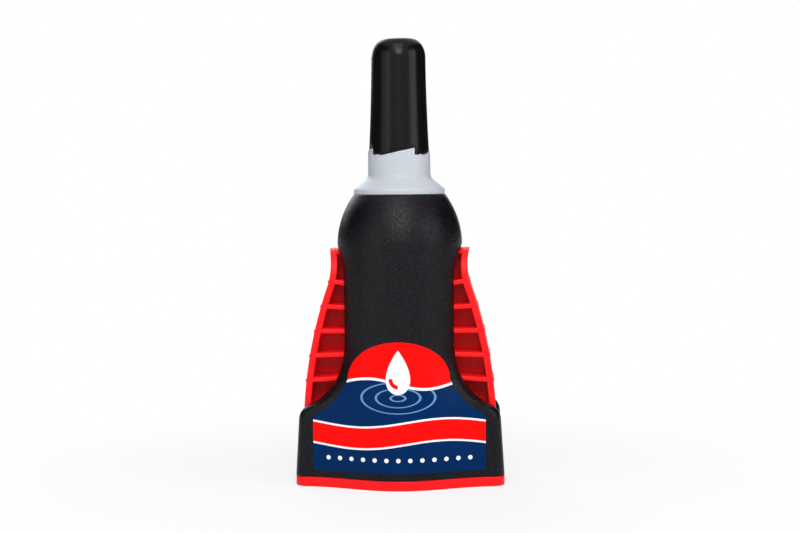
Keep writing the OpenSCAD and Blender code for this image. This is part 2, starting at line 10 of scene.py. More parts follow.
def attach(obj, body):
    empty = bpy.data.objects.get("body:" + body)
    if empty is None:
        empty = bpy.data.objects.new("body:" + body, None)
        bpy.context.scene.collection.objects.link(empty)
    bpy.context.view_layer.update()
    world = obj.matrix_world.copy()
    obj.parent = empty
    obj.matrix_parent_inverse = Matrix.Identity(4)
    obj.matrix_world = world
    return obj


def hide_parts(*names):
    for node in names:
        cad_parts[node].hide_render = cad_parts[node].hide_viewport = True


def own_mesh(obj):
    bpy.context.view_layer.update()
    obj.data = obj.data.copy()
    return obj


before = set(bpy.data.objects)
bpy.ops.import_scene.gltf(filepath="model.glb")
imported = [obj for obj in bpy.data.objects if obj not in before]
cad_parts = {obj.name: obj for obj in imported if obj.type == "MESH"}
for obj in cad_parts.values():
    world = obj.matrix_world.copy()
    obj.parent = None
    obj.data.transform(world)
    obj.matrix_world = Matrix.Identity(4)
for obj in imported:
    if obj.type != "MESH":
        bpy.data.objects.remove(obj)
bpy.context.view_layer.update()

MM = 0.001

# Shell, in millimetres like the sizes of every piece
COLUMN_R = 13.5
WALL = 1.6
COLUMN_Z = 31.0
SHOULDER_Z = 51.0
SHELL_TOP_Z = 62.0
SHOULDER_R = 18.5
NECK_HOLE_R = 4.65
SEAM_STEP = 0.02
TOP_JOIN = 0.5
EDGE_R = 0.28

# Foot
FOOT_W = 44.6
FOOT_LEAN = 0.7
FOOT_END_DEPTH = 18.6
FOOT_BULGE = 5.8
BULGE_HALF_W = 21.0
FOOT_CORNER_R = 2.5
FOOT_FILLET_R = 3.5
FLARE_R = 13.0
FLARE_Z = 29.0
FLARE_JOIN = 1.0
FOOT_BLEND_Z = 13.0
WING_BLEND = 4.0
WING_EDGE_R = 0.9
BASE_T = 2.1

# Windows
WINDOW_HALF = 6.5
ARCH_Z = SHOULDER_Z - WINDOW_HALF
SILL_Z = 13.5
SILL_WALL = 0.65
WINDOW_EDGE_R = 0.5
FAN_TOP_Z = 55.0

# Edge of the flare: a leaning line, a fillet, a concave arc and the upright column
FLARE_X = math.sqrt(COLUMN_R ** 2 - WINDOW_HALF ** 2)
FLARE_CX = FLARE_X + FLARE_R
FILLET_X = FOOT_W / 2 - FOOT_LEAN - FOOT_FILLET_R
FILLET_RISE = math.sqrt((FLARE_R + FOOT_FILLET_R) ** 2 - (FLARE_CX - FILLET_X) ** 2)
FILLET_Z = FLARE_Z - FILLET_RISE
FILLET_TURN = math.atan2(FILLET_RISE, FLARE_CX - FILLET_X)
FILLET_END_Z = FILLET_Z + FOOT_FILLET_R * math.sin(FILLET_TURN)
WINDOW_TURN = math.acos(WINDOW_HALF / COLUMN_R)
WING_SLOPE = math.tan(WINDOW_TURN)
SLOT_X = FOOT_W / 2 - FOOT_LEAN * (SILL_Z - BASE_T) / (FILLET_Z - BASE_T) - SILL_WALL

# Grips
GRIP_HALF = 6.0
GRIP_GAP = 0.3
GRIP_REACH = SLOT_X - GRIP_GAP
GRIP_REACH_DROP = 2.2
GRIP_REACH_Z = SILL_Z - GRIP_REACH_DROP
GRIP_REST_STEP = 1.1
GRIP_REST_X = COLUMN_R + GRIP_REST_STEP
GRIP_REST_R = 13.0
GRIP_TIP_Z = ARCH_Z + GRIP_HALF
REST_DROP = 3.7
REST_Z = GRIP_TIP_Z - REST_DROP
REST_CX = GRIP_REST_X + GRIP_REST_R
GRIP_SWING = GRIP_REACH - GRIP_REST_X
GRIP_RISE = REST_Z - GRIP_REACH_Z
GRIP_ARCS_R = (GRIP_SWING ** 2 + GRIP_RISE ** 2) / (2 * GRIP_SWING)
BELLY_R = GRIP_ARCS_R - GRIP_REST_R
BELLY_CX = GRIP_REACH - BELLY_R
BELLY_END_Z = GRIP_REACH_Z + GRIP_RISE * BELLY_R / GRIP_ARCS_R
STRIP_T = 1.45
STRIP_DROP = 1.0
STRIP_BOTTOM_Z = SILL_Z - STRIP_DROP
WEB_T = 1.5
TIP_T = 1.2
TIP_LAP = 1.0
TIP_IN_X = FLARE_X - TIP_LAP
FLUSH = 0.02
SINK = 0.1
WEB_LAP_SHARE = 0.6
RUNG_T = 1.0
RUNG_FAN_R = 87.0
RUNG_FAN_X = GRIP_REST_X - RUNG_FAN_R
RUNG_FAN_Z = 31.9
RUNG_COUNT = 5
RUNG_TOP_DEG = 7.6
RUNG_BOTTOM_DEG = -6.3
RUNG_SLOPES = np.radians(np.linspace(RUNG_TOP_DEG, RUNG_BOTTOM_DEG, RUNG_COUNT))
RUNG_END_Z = RUNG_FAN_Z + RUNG_FAN_R * np.tan(RUNG_SLOPES)
RIDGE_H = 0.2
RIDGE_HALF_W = 0.5
PAD_X = 8.3
PAD_T = 1.2
PAD_HALF_W = 4.5
PAD_BOTTOM_Z = 24.0
PAD_TOP_Z = 45.0
HINGE_IN = 2.68
HINGE_X = GRIP_REACH - HINGE_IN
HINGE_Z = 6.5
HINGE_PIN_R = 1.5
HINGE_BOSS_R = 2.3
HINGE_BORE_R = 1.55
CHEEK_R = 2.35
CHEEK_Y = 3.9
CHEEK_T = 2.4
CHEEK_EDGE = 0.15
CHEEK_FIRST_DEG = 143
CHEEK_LAST_DEG = 397
CHEEK_SEAT_DROP = 0.6
ARM_HALF_W = 3.6
ARM_T = 2.6
ARM_RISE = 1.0
ARM_TOP_Z = SILL_Z + ARM_RISE

# Base plate
SPIGOT_GAP = 0.1
SPIGOT_IN = WALL + SPIGOT_GAP
SPIGOT_T = 1.2
SPIGOT_H = 1.8
RIM_EDGE = 0.2
BASE_MIDDLE_IN = 9.0
CRADLE_R = 8.15
CRADLE_WALL = 1.4
BOTTLE_BASE_Z = 16.0
CRADLE_LIP_H = 3.0
CRADLE_TOP_Z = BOTTLE_BASE_Z + CRADLE_LIP_H

# Inner bottle and glue
BOTTLE_R = 8.0
BOTTLE_WALL = 0.8
BOTTLE_FOOT_EDGE = 0.6
BOTTLE_SHOULDER_DROP = 16.0
BOTTLE_SHOULDER_Z = SHELL_TOP_Z - BOTTLE_SHOULDER_DROP
BOTTLE_SHOULDER_H = 8.0
NECK_Z = BOTTLE_SHOULDER_Z + BOTTLE_SHOULDER_H
NECK_R = 4.5
NECK_H = 4.4
NECK_TOP_Z = SHELL_TOP_Z + NECK_H
NECK_GAP = 0.15
NECK_RING = 1.9
NECK_RING_R = NECK_R + NECK_RING
NECK_RING_T = 1.4
MOUTH_EDGE = 0.15
NECK_RING_TOP_Z = SHELL_TOP_Z - WALL - NECK_GAP
GLUE_GAP = 0.05
GLUE_H = 23.6
GLUE_EDGE = 0.5
HALF_GAP = 0.01

# Nozzle and cap
FLANGE_R = 9.82
FLANGE_T = 1.1
FLANGE_CONE_H = 2.5
FLANGE_FOOT_EDGE = 0.1
FLANGE_LIP_EDGE = 0.3
CONE_EDGE = 0.9
COLLAR_R = 6.7
COLLAR_WALL = 1.15
COLLAR_DRAFT = 0.05
COLLAR_Z = SHELL_TOP_Z + FLANGE_T + FLANGE_CONE_H
CAP_RISE = 8.6
CAP_Z = SHELL_TOP_Z + CAP_RISE
CAP_H = 24.7
CAP_TOP_Z = CAP_Z + CAP_H
CAP_DOME_H = 4.1
CAP_DOME_Z = CAP_TOP_Z - CAP_DOME_H
CAP_RIM_R = 6.5
CAP_TOP_R = 5.85
CAP_FLAT_R = 2.9
CAP_WALL = 1.05
CAP_RIM_EDGE = 0.18
CAP_BORE_H = 3.4
CAP_BORE_EDGE = 0.3
CAP_TAPER_POWER = 1.6
CROWN_T = 1.4
CROWN_Z = CAP_TOP_Z - CROWN_T
PLUG_T = 1.95
PLUG_Z = CROWN_Z - PLUG_T
TIP_GAP = 0.45
TIP_Z = PLUG_Z - TIP_GAP
CAM_TEETH = 4
CAM_RISE = 1.5
CAM_FLAT = math.radians(27)
CAM_PHASE = math.radians(-56.5)
CAM_GAP = 0.2
CAM_GAP_TURN = math.asin(CAM_GAP / CAP_RIM_R)
CAM_TURN = 2 * math.pi / CAM_TEETH
GROOVE_DEPTH = 1.0
GROOVE_Z = CAP_Z - CAM_GAP - GROOVE_DEPTH
BOSS_R = 4.4
BOSS_H = 5.4
BOSS_TOP_Z = CAP_Z + BOSS_H
SPOUT_STEP = 0.8
SPOUT_Z = BOSS_TOP_Z + SPOUT_STEP
SPOUT_R = 3.1
SPOUT_BORE_R = 2.0
BOSS_EDGE = 0.3
SPOUT_EDGE = 0.4
TIP_EDGE = 0.25
ORIFICE_EDGE = 0.1
TIP_R = 1.0
ORIFICE_R = 0.5
ORIFICE_LENGTH = 6.0
ORIFICE_Z = TIP_Z - ORIFICE_LENGTH
SEAL_T = 0.4
DECK_Z = NECK_TOP_Z + SEAL_T

# Labels
LABEL_T = 0.12
LABEL_GAP = 0.06
LABEL_MARGIN = 2.2
LABEL_BOTTOM_Z = 3.7
LABEL_END = 4.0
LABEL_HALF_W = FOOT_W / 2 - LABEL_END
LABEL_WAIST_Z = 23.1
LABEL_DOME_H = 8.1

# Print on the labels
FIELD_Z = 22.4
FIELD_RISE = 1.1
FIELD_LENGTH = 24.0
FIELD_LINE = 0.55
BAND_Z = 11.9
BAND_RISE = 0.9
BAND_LENGTH = 36.0
BAND_HALF_W = 2.3
BAND_LINE = 0.4
DROP_Z = 20.3
DROP_H = 9.2
DROP_HALF_W = 2.55
DROP_FULL = 2.6
SHINE_Z = 23.4
SHINE_TOP_Z = 23.6
SHINE_R = 1.55
SHINE_W = 0.84
RIPPLE_Z = 19.6
RIPPLE_FLAT = 2.4
RIPPLE_STEP = 1.55
RIPPLE_LINE = 0.5
RIPPLE_REACH = 8.4
DOT_Z = 6.5
DOT_R = 0.46
DOT_STEP = 1.25
DOT_SHIFT = 30.0
DOT_ROW_HALF_W = 15.7
PANEL_Z = 11.4
PANEL_HALF_H = 3.6
PANEL_HALF_W = 13.8
PANEL_CORNER_R = 1.4

# Meshes: points nearer than MERGE are one point, and edges sharper than SHARP_DEG stay hard
MERGE = 0.003
SLIVER = 0.001
SHARP_DEG = 38

# Counts of points along the surfaces
FRONT_COLS = 41
SIDE_COLS = 4
SILL_COLS = 9
EDGE_STEPS = 5
FOOT_ROWS = 8
WEB_ROWS = 40
FAN_ROWS = 33
ACROSS = np.linspace(0, 1, FRONT_COLS)

# Signs that mirror the front right quarter to all four
QUARTERS = (1, 1, 1), (-1, 1, 1), (1, -1, 1), (-1, -1, 1)


def chord(r, d):
    """Half a chord of a circle of radius r at distance d from its centre, and 0 outside the circle."""
    return np.sqrt(np.maximum(r * r - d * d, 0))


def smooth(t):
    """The soft step 3t^2 - 2t^3 from 0 to 1."""
    s = np.clip(t, 0, 1)
    return s * s * (3 - 2 * s)


def blend(a, b, t):
    """The value at share t of the way from a to b."""
    return a + (b - a) * t


def soft_min(a, b, k):
    """The lesser of a and b, rounded by a hyperbola of width k where they meet."""
    return (a + b - np.sqrt((a - b) ** 2 + k * k)) / 2


def point(x, y, z):
    """Points from arrays of coordinates, which are spread to one shape."""
    return np.stack(np.broadcast_arrays(x, y, z), -1)


def corner(a, o, b):
    """A parabola from each a to each b that leaves and arrives along the lines to the corner o."""
    t = np.linspace(0, 1, EDGE_STEPS)[None, :, None]
    return (1 - t) ** 2 * a[:, None] + 2 * t * (1 - t) * o[:, None] + t ** 2 * b[:, None]


def eased(corners, closed=False):
    """A line of points with rounded corners: each row of corners gives two coordinates and how far
    before and after the corner its parabola starts and ends."""
    corners = np.asarray(corners, float)
    p, r = corners[:, :2], corners[:, 2:]
    leg = np.roll(p, -1, 0) - p
    leg /= np.maximum(np.linalg.norm(leg, axis=1, keepdims=True), 1e-9)
    arrive = np.roll(leg, 1, 0)
    if not closed:
        arrive[0] = leg[0]
        leg[-1] = arrive[-1]
    return corner(p - r * arrive, p, p + r * leg).reshape(-1, 2)


def around(profile, turns):
    """A surface of revolution: each (r, z) of the profile swept to the given turns about the axis."""
    r, z = profile[:, :1], profile[:, 1:]
    return point(r * np.cos(turns), r * np.sin(turns), z)


def looped(loops):
    """A grid of closed loops, with the first column repeated at the end to close it."""
    return np.concatenate([loops, loops[:, :1]], 1)


def capped(loops):
    """Closed loops with a pole in the middle of the first and last ones."""
    ends = loops[[0, -1]].mean(1, keepdims=True) + 0 * loops[[0, -1]]
    return looped(np.concatenate([ends[:1], loops, ends[1:]]))


def mirrored(sheets, *signs):
    """The sheets and their mirror images, each made with one triple of signs."""
    return [sheet * np.array(sign) for sign in signs for sheet in sheets]


def make_piece(name, sheets, body, slot, nodes, material):
    """One mesh from grids of points in millimetres: each grid gives its quads, edges that meet are merged,
    and the closed shells are turned to face outwards."""
    verts, quads, start = [], [], 0
    for grid in sheets:
        rows, cols = grid.shape[:2]
        index = start + np.arange(rows * cols).reshape(rows, cols)
        quad = np.stack([index[:-1, :-1], index[:-1, 1:], index[1:, 1:], index[1:, :-1]], -1)
        verts.append(grid.reshape(-1, 3))
        quads.append(quad.reshape(-1, 4))
        start += rows * cols
    mesh = bpy.data.meshes.new(name)
    mesh.from_pydata(np.concatenate(verts) * MM, [], np.concatenate(quads))
    shape = bmesh.new()
    shape.from_mesh(mesh)
    bmesh.ops.remove_doubles(shape, verts=shape.verts, dist=MERGE * MM)
    bmesh.ops.dissolve_degenerate(shape, edges=shape.edges, dist=SLIVER * MM)
    bmesh.ops.recalc_face_normals(shape, faces=shape.faces)
    shape.to_mesh(mesh)
    shape.free()
    mesh.shade_smooth()
    mesh.set_sharp_from_angle(angle=math.radians(SHARP_DEG))
    mesh.materials.append(material)
    piece = bpy.data.objects.new(name, mesh)
    bpy.context.scene.collection.objects.link(piece)
    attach(piece, body)
    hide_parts(*nodes)
    return piece


# Shell

def side_x(z):
    """Half width of foot and flare at height z: leaning line, fillet, concave arc and upright."""
    line = FOOT_W / 2 - FOOT_LEAN * (z - BASE_T) / (FILLET_Z - BASE_T)
    fillet = FILLET_X + chord(FOOT_FILLET_R, z - FILLET_Z)
    flare = FLARE_CX - chord(FLARE_R, FLARE_Z - z)
    return np.select([z <= FILLET_Z, z <= FILLET_END_Z, z <= FLARE_Z], [line, fillet, flare], FLARE_X)


def column_share(z):
    """Share of the change from the foot's plan to the round column's."""
    return smooth((z - FOOT_BLEND_Z) / (COLUMN_Z - FOOT_BLEND_Z))


def depth(x, z, inset):
    """Half depth of the shell at x and z: a cosine bulge on flat ends, blended into the column's circle."""
    share = column_share(z)
    foot = FOOT_END_DEPTH / 2 + FOOT_BULGE * (1 + np.cos(np.pi * np.minimum(abs(x) / BULGE_HALF_W, 1))) / 2
    near = soft_min(abs(x), FLARE_X - inset, WING_BLEND * (1 - share))
    return blend(foot - inset, chord(COLUMN_R - SEAM_STEP - inset, near), share)


def shell_r(z, inset):
    """Radius of column and shoulder at height z."""
    arc = chord(SHOULDER_R - inset, np.maximum(z - SHOULDER_Z, 0))
    return COLUMN_R - SHOULDER_R + arc


def foot_lines(z, inset, edge):
    """Lines over the front right quarter of foot and flare, one for each height: from the middle of the
    front round the upright corner and along the flat end to the window, less the edge rounded there."""
    z, inset = (np.broadcast_to(value, np.shape(z))[:, None] for value in (z, inset))
    share = column_share(z)
    half = side_x(z) - inset
    spare = depth(half, z, inset) - WINDOW_HALF - edge
    r = np.clip(blend(FOOT_CORNER_R, WING_EDGE_R, share), 0, np.maximum(spare, 0))
    end = half + np.minimum(spare, 0) / WING_SLOPE
    foot_spread = np.sin(math.pi / 2 * ACROSS)
    column_spread = np.sin(WINDOW_TURN * ACROSS) / math.sin(WINDOW_TURN)
    x = end * blend(foot_spread, column_spread, share)
    y = depth(x, z, inset) - r + chord(r, np.maximum(x - half + r, 0))
    end_y = y[:, -1:]
    side_y = blend(end_y, np.minimum(end_y, WINDOW_HALF + edge), np.linspace(0, 1, SIDE_COLS))
    return np.concatenate([point(x, -y, z), point(end, -side_y, z)], 1)


def column_lines(far_turn, far_z, edge_y, edge_z, inset, edge):
    """Lines over column and shoulder, straight in turn and height, that end at the window's edge."""
    far_turn, far_z, edge_y, edge_z = (v[:, None] for v in (far_turn, far_z, edge_y, edge_z))
    edge_turn = np.arccos(edge_y / (COLUMN_R - inset))
    length = np.hypot((COLUMN_R - inset) * (edge_turn - far_turn), edge_z - far_z)
    way = np.concatenate([ACROSS, np.ones(SIDE_COLS)]) * (1 - edge / length)
    turn, z = blend(far_turn, edge_turn, way), blend(far_z, edge_z, way)
    r = shell_r(z, inset)
    return point(r * np.sin(turn), -r * np.cos(turn), z)


def shell_quarter():
    """The front right quarter of the shell as sheets: the wall round the window, carried over outside, rim
    and inside in one line; the foot's wall under the window; the sill; and the shoulder's top, turned
    about the axis."""
    flare_turns = np.linspace(FILLET_TURN, 0, 15)[1:]
    low_z = np.concatenate([
        [SILL_Z],
        FILLET_Z + FOOT_FILLET_R * np.sin(np.linspace(0, FILLET_TURN, 9)),
        FLARE_Z - FLARE_R * np.sin(flare_turns),
        [FLARE_Z + FLARE_JOIN],
    ])
    out_z = np.concatenate([[SILL_Z - WINDOW_EDGE_R], low_z[1:]])
    mid_z = np.linspace(COLUMN_Z, ARCH_Z, 12)[:-1]
    fan = np.linspace(0, math.pi / 2, FAN_ROWS)
    rise, lap = np.clip(fan * 4 / math.pi, 0, 1), np.clip(fan * 4 / math.pi - 1, 0, 1)
    far_turn = np.concatenate([0 * mid_z, lap * math.pi / 2])
    far_z = np.concatenate([mid_z, blend(ARCH_Z, FAN_TOP_Z, rise)])
    edge_y = np.concatenate([0 * mid_z + WINDOW_HALF, WINDOW_HALF * np.cos(fan)])
    edge_z = np.concatenate([mid_z, ARCH_Z + WINDOW_HALF * np.sin(fan)])
    outside = np.concatenate([
        foot_lines(out_z, 0, WINDOW_EDGE_R),
        column_lines(far_turn, far_z, edge_y, edge_z, 0, WINDOW_EDGE_R)])
    inside = np.concatenate([
        foot_lines(low_z, WALL, 0), column_lines(far_turn, far_z, edge_y, edge_z, WALL, 0)])
    rim_x = np.concatenate([side_x(low_z), chord(COLUMN_R, edge_y)])
    rim_y = np.concatenate([0 * low_z - WINDOW_HALF, -edge_y])
    rim_z = np.concatenate([low_z, edge_z])
    edge = corner(outside[:, -1], point(rim_x, rim_y, rim_z), point(rim_x - WINDOW_EDGE_R, rim_y, rim_z))
    rim = point(rim_x - SILL_WALL, rim_y, rim_z)[:, None]
    wall = np.concatenate([outside, edge, rim, inside[:, ::-1]], 1)

    to_middle = point(1, np.linspace(1, 0, SILL_COLS), 1)
    t = np.linspace(0, 1, EDGE_STEPS)
    wall_end_z = SILL_Z - WINDOW_EDGE_R
    foot_z = np.concatenate([BASE_T + EDGE_R * t ** 2, np.linspace(BASE_T, wall_end_z, FOOT_ROWS)[1:]])
    foot_in = np.concatenate([EDGE_R * (1 - t) ** 2, np.zeros(FOOT_ROWS - 1)])
    outer = foot_lines(foot_z, foot_in, WINDOW_EDGE_R)
    outer = np.concatenate([outer, outer[:, -1:] * to_middle], 1)
    inner_z = np.linspace(BASE_T, SILL_Z, 6)
    inner = foot_lines(inner_z, WALL, 0)
    slot = point(SLOT_X, -WINDOW_HALF, inner_z)[:, None] * to_middle
    inner = np.concatenate([inner, slot], 1)
    bottom = np.stack([outer[0], inner[0]])
    sill = np.concatenate([edge[0], rim[0]])[:, None] * to_middle

    top_z = np.linspace(FAN_TOP_Z, SHELL_TOP_Z - TOP_JOIN, 12)
    deck_z = SHELL_TOP_Z - WALL
    under_z = np.linspace(deck_z, FAN_TOP_Z, 8)[1:]
    top = eased([
        (shell_r(top_z[-1], 0), top_z[-1], 0),
        (shell_r(SHELL_TOP_Z, 0), SHELL_TOP_Z, EDGE_R),
        (NECK_HOLE_R, SHELL_TOP_Z, EDGE_R),
        (NECK_HOLE_R, deck_z, 0),
        (shell_r(deck_z, WALL), deck_z, 0),
    ])
    profile = np.concatenate([
        np.stack([shell_r(top_z, 0), top_z], -1), top, np.stack([shell_r(under_z, WALL), under_z], -1)])
    shoulder = around(profile, lap[FAN_ROWS // 2:] * math.pi / 2 - math.pi / 2)
    return [wall, outer, inner, bottom, sill, shoulder]


# Grips

def grip_outer_x(z):
    """Outer face of a grip: a belly arc, then the finger rest's hollow, with a low ridge at each rung."""
    belly = BELLY_CX + chord(BELLY_R, z - GRIP_REACH_Z)
    rest = REST_CX - chord(GRIP_REST_R, z - REST_Z)
    near = np.clip((z[..., None] - RUNG_END_Z) / RIDGE_HALF_W, -1, 1)
    ridges = (RIDGE_H * (1 + np.cos(math.pi * near)) / 2).sum(-1)
    return np.where(z <= BELLY_END_Z, belly, rest) + ridges


def grip_inner_x(z):
    """Inner face of a grip's strip, one thickness behind the outer arcs."""
    belly = BELLY_CX + chord(BELLY_R - STRIP_T, z - GRIP_REACH_Z)
    rest = REST_CX - chord(GRIP_REST_R + STRIP_T, z - REST_Z)
    return np.where(z <= BELLY_END_Z, belly, rest)


def grip_strip():
    """The curved strip: lines from its middle to its edge, level up to the arch and then fanned round it,
    carried over outer face, rounded edge and inner face."""
    low_z = np.linspace(STRIP_BOTTOM_Z, ARCH_Z, 161)[:-1]
    fan = np.linspace(0, math.pi / 2, FAN_ROWS)
    start_z = np.concatenate([low_z, 0 * fan + ARCH_Z])[:, None]
    reach_y = np.concatenate([0 * low_z + GRIP_HALF, GRIP_HALF * np.cos(fan)])[:, None]
    reach_z = np.concatenate([0 * low_z, GRIP_HALF * np.sin(fan)])[:, None]
    way = np.linspace(0, 1 - EDGE_R / GRIP_HALF, 12)
    y, z = -reach_y * way, start_z + reach_z * way
    rim_y, rim_z = -reach_y[:, 0], (start_z + reach_z)[:, 0]
    out_x, in_x = grip_outer_x(rim_z), grip_inner_x(rim_z)
    outer, inner = point(grip_outer_x(z), y, z), point(grip_inner_x(z), y, z)
    front_edge = corner(outer[:, -1], point(out_x, rim_y, rim_z), point(out_x - EDGE_R, rim_y, rim_z))
    back_edge = corner(point(in_x + EDGE_R, rim_y, rim_z), point(in_x, rim_y, rim_z), inner[:, -1])
    strip = np.concatenate([outer, front_edge, back_edge, inner[:, ::-1]], 1)
    half = strip.shape[1] // 2
    end = np.stack([strip[0, :half], strip[0, ::-1][:half]])
    return mirrored([strip, end], (1, 1, 1), (1, -1, 1))


def bar(start, end, half_y, half_t, ease):
    """A slab with rounded long edges: its section, in y and across, at each of two points (x, z)."""
    start, end = np.array(start, float), np.array(end, float)
    along = (end - start) / np.linalg.norm(end - start)
    section = eased([(half_y, half_t, ease), (-half_y, half_t, ease), (-half_y, -half_t, ease),
                     (half_y, -half_t, ease)], closed=True)
    across = section[:, 1:] * np.array([-along[1], along[0]])
    ends = np.stack([start + across, end + across])
    return capped(point(ends[..., 0], section[:, 0], ends[..., 1]))


def plate(outline, low_y, high_y, ease):
    """An outline in x and z made thick across y, drawn in a little at both faces for eased edges."""
    outline = np.asarray(outline, float)
    middle = outline.mean(0)
    rows = eased([(ease, low_y, 0), (0, low_y, ease), (0, high_y, ease), (ease, high_y, 0)])
    reach = np.abs(outline - middle).max()
    drawn = middle + (outline - middle) * (1 - rows[:, None, :1] / reach)
    return capped(point(drawn[..., 0], rows[:, 1:], drawn[..., 1]))


def grip_web():
    """The web behind the rungs: level lines from the pad's side to the strip, thick across y."""
    top_z = ARCH_Z + math.sqrt(GRIP_HALF ** 2 - WEB_T ** 2 / 4) - FLUSH
    z = np.concatenate([np.linspace(STRIP_BOTTOM_Z, PAD_TOP_Z, WEB_ROWS), np.linspace(PAD_TOP_Z, top_z, 9)])
    back_x = grip_inner_x(z) + STRIP_T / 2
    pad_mid = PAD_X + PAD_T / 2
    front_x = np.interp(z, [STRIP_BOTTOM_Z, PAD_BOTTOM_Z], [back_x[0], pad_mid])
    front_x[WEB_ROWS:] = TIP_IN_X
    x = np.stack([front_x, back_x, back_x, front_x], -1)
    return capped(point(x, WEB_T / 2 * np.array([-1, -1, 1, 1]), z[:, None]))


def grip_tip():
    """The rim across the grip's tip: a slice of the arch, from behind the window's edge to the strip."""
    r = GRIP_HALF - FLUSH
    low = math.asin(1 - TIP_T / GRIP_HALF)
    turn = np.linspace(low, math.pi - low, 33)
    x = np.array([TIP_IN_X, grip_inner_x(np.array(GRIP_TIP_Z)) + STRIP_T / 2])
    return capped(point(x[:, None], r * np.cos(turn), ARCH_Z + r * np.sin(turn)))


def mark_painted_web_shade(piece):
    """Adds the attribute web to a grip's points: 1 on the web's faces from lowest rung to tip, else 0,
    which marks where painted shade darkens the recessed web between the rungs.
    """
    place = np.empty(3 * len(piece.data.vertices))
    piece.data.vertices.foreach_get("co", place)
    x, y, z = np.abs(place.reshape(-1, 3).T / MM)
    on_face = np.abs(y - WEB_T / 2) < FLUSH
    behind = x < grip_inner_x(z) + WEB_LAP_SHARE * STRIP_T
    between = (z > RUNG_END_Z.min()) & (z < GRIP_TIP_Z - TIP_T)
    # Painted shade: these web faces between the rungs get a darker colour in the grip's material, standing
    # in for the shadow in the recess.
    in_painted_shade = on_face & behind & between
    piece.data.attributes.new("web", "FLOAT", "POINT").data.foreach_set("value", in_painted_shade * 1.0)


def arc_points(x, z, r, first_deg, last_deg, count=25):
    """Points on an arc in x and z."""
    turn = np.radians(np.linspace(first_deg, last_deg, count))
    return np.stack([x + r * np.cos(turn), z + r * np.sin(turn)], -1)


def grip_sheets():
    """The right-hand grip: strip, web, rungs, presser pad, arm with its boss, and the hinge pins."""
    pad_mid = PAD_X + PAD_T / 2
    rungs = [
        bar((pad_mid, RUNG_FAN_Z + (PAD_X - RUNG_FAN_X) * math.tan(slope)),
            (float(grip_inner_x(np.array(z))) + STRIP_T / 2, z), GRIP_HALF - FLUSH, RUNG_T / 2, EDGE_R)
        for slope, z in zip(RUNG_SLOPES, RUNG_END_Z)
    ]
    join_x = BELLY_CX + math.sqrt(BELLY_R ** 2 - (ARM_TOP_Z - GRIP_REACH_Z) ** 2) - SINK
    arm = np.concatenate([
        arc_points(HINGE_X, HINGE_Z, HINGE_BOSS_R, 180, 360),
        [(join_x, ARM_TOP_Z), (join_x - ARM_T, ARM_TOP_Z)],
    ])
    pin = arc_points(HINGE_X, HINGE_Z, HINGE_PIN_R, 0, 345, 24)
    pad = bar((pad_mid, PAD_BOTTOM_Z), (pad_mid, PAD_TOP_Z), PAD_HALF_W, PAD_T / 2, EDGE_R)
    pin_half = CHEEK_Y + CHEEK_T
    return grip_strip() + rungs + [
        grip_web(),
        grip_tip(),
        pad,
        plate(arm, -ARM_HALF_W, ARM_HALF_W, EDGE_R),
        plate(pin, -pin_half, pin_half, EDGE_R),
    ]


# Base plate

def base_plan(inset, z):
    """Closed loops round the foot's plan, one for each inset and height, from a quarter and its mirrors."""
    low = np.full(len(inset), BASE_T)
    quarter = foot_lines(low, inset, 0)[:, :FRONT_COLS]
    side = quarter[:, -1:] * point(1, np.linspace(1, 0, SILL_COLS)[1:], 1)
    quarter = np.concatenate([quarter, side], 1)
    quarter[..., 2] = z[:, None]
    back = quarter[:, ::-1]
    return np.concatenate([
        quarter, back * (1, -1, 1), quarter * (-1, -1, 1), back * (-1, 1, 1)], 1)


def hinge_cheek():
    """One right-hand cheek: an open ring for the pin, its section carried round, on a block."""
    far_y = CHEEK_Y + CHEEK_T
    section = eased([
        (HINGE_BORE_R, CHEEK_Y, CHEEK_EDGE), (CHEEK_R, CHEEK_Y, CHEEK_EDGE), (CHEEK_R, far_y, CHEEK_EDGE),
        (HINGE_BORE_R, far_y, CHEEK_EDGE),
    ], closed=True)
    turn = np.radians(np.linspace(CHEEK_FIRST_DEG, CHEEK_LAST_DEG, 40))[:, None]
    r, y = section[:, 0], section[:, 1]
    ring = capped(point(HINGE_X + r * np.cos(turn), y, HINGE_Z + r * np.sin(turn)))
    low_z = BASE_T - SINK
    seat_z = HINGE_Z - CHEEK_SEAT_DROP
    foot = [
        (HINGE_X - CHEEK_R, low_z), (HINGE_X + CHEEK_R, low_z), (HINGE_X + CHEEK_R, seat_z),
        (HINGE_X + HINGE_BORE_R, seat_z), (HINGE_X, HINGE_Z - HINGE_BORE_R),
        (HINGE_X - HINGE_BORE_R, seat_z), (HINGE_X - CHEEK_R, seat_z),
    ]
    return [ring, plate(foot, CHEEK_Y, far_y, 0)]


def base_sheets():
    """The base plate: one profile of inset and height carried round the plan, hinge cheeks and cradle."""
    spigot_z = BASE_T + SPIGOT_H
    spigot_far = SPIGOT_IN + SPIGOT_T
    profile = eased([
        (BASE_MIDDLE_IN, 0, 0), (0, 0, EDGE_R), (0, BASE_T, EDGE_R), (SPIGOT_IN, BASE_T, 0),
        (SPIGOT_IN, spigot_z, RIM_EDGE), (spigot_far, spigot_z, RIM_EDGE), (spigot_far, BASE_T, 0),
        (BASE_MIDDLE_IN, BASE_T, 0),
    ])
    floor = capped(base_plan(profile[:, 0], profile[:, 1]))
    in_r = CRADLE_R - CRADLE_WALL
    out_r = CRADLE_R + CRADLE_WALL
    cradle = eased([
        (in_r, BASE_T - SINK, 0), (out_r, BASE_T - SINK, 0), (out_r, CRADLE_TOP_Z, RIM_EDGE),
        (CRADLE_R, CRADLE_TOP_Z, RIM_EDGE), (CRADLE_R, BOTTLE_BASE_Z, 0), (in_r, BOTTLE_BASE_Z, RIM_EDGE),
    ], closed=True)
    cradle = np.concatenate([cradle, cradle[:1]])
    turns = np.linspace(0, 2 * math.pi, 65)
    return [floor, around(cradle, turns)] + mirrored(hinge_cheek(), *QUARTERS)


# Inner bottle and glue

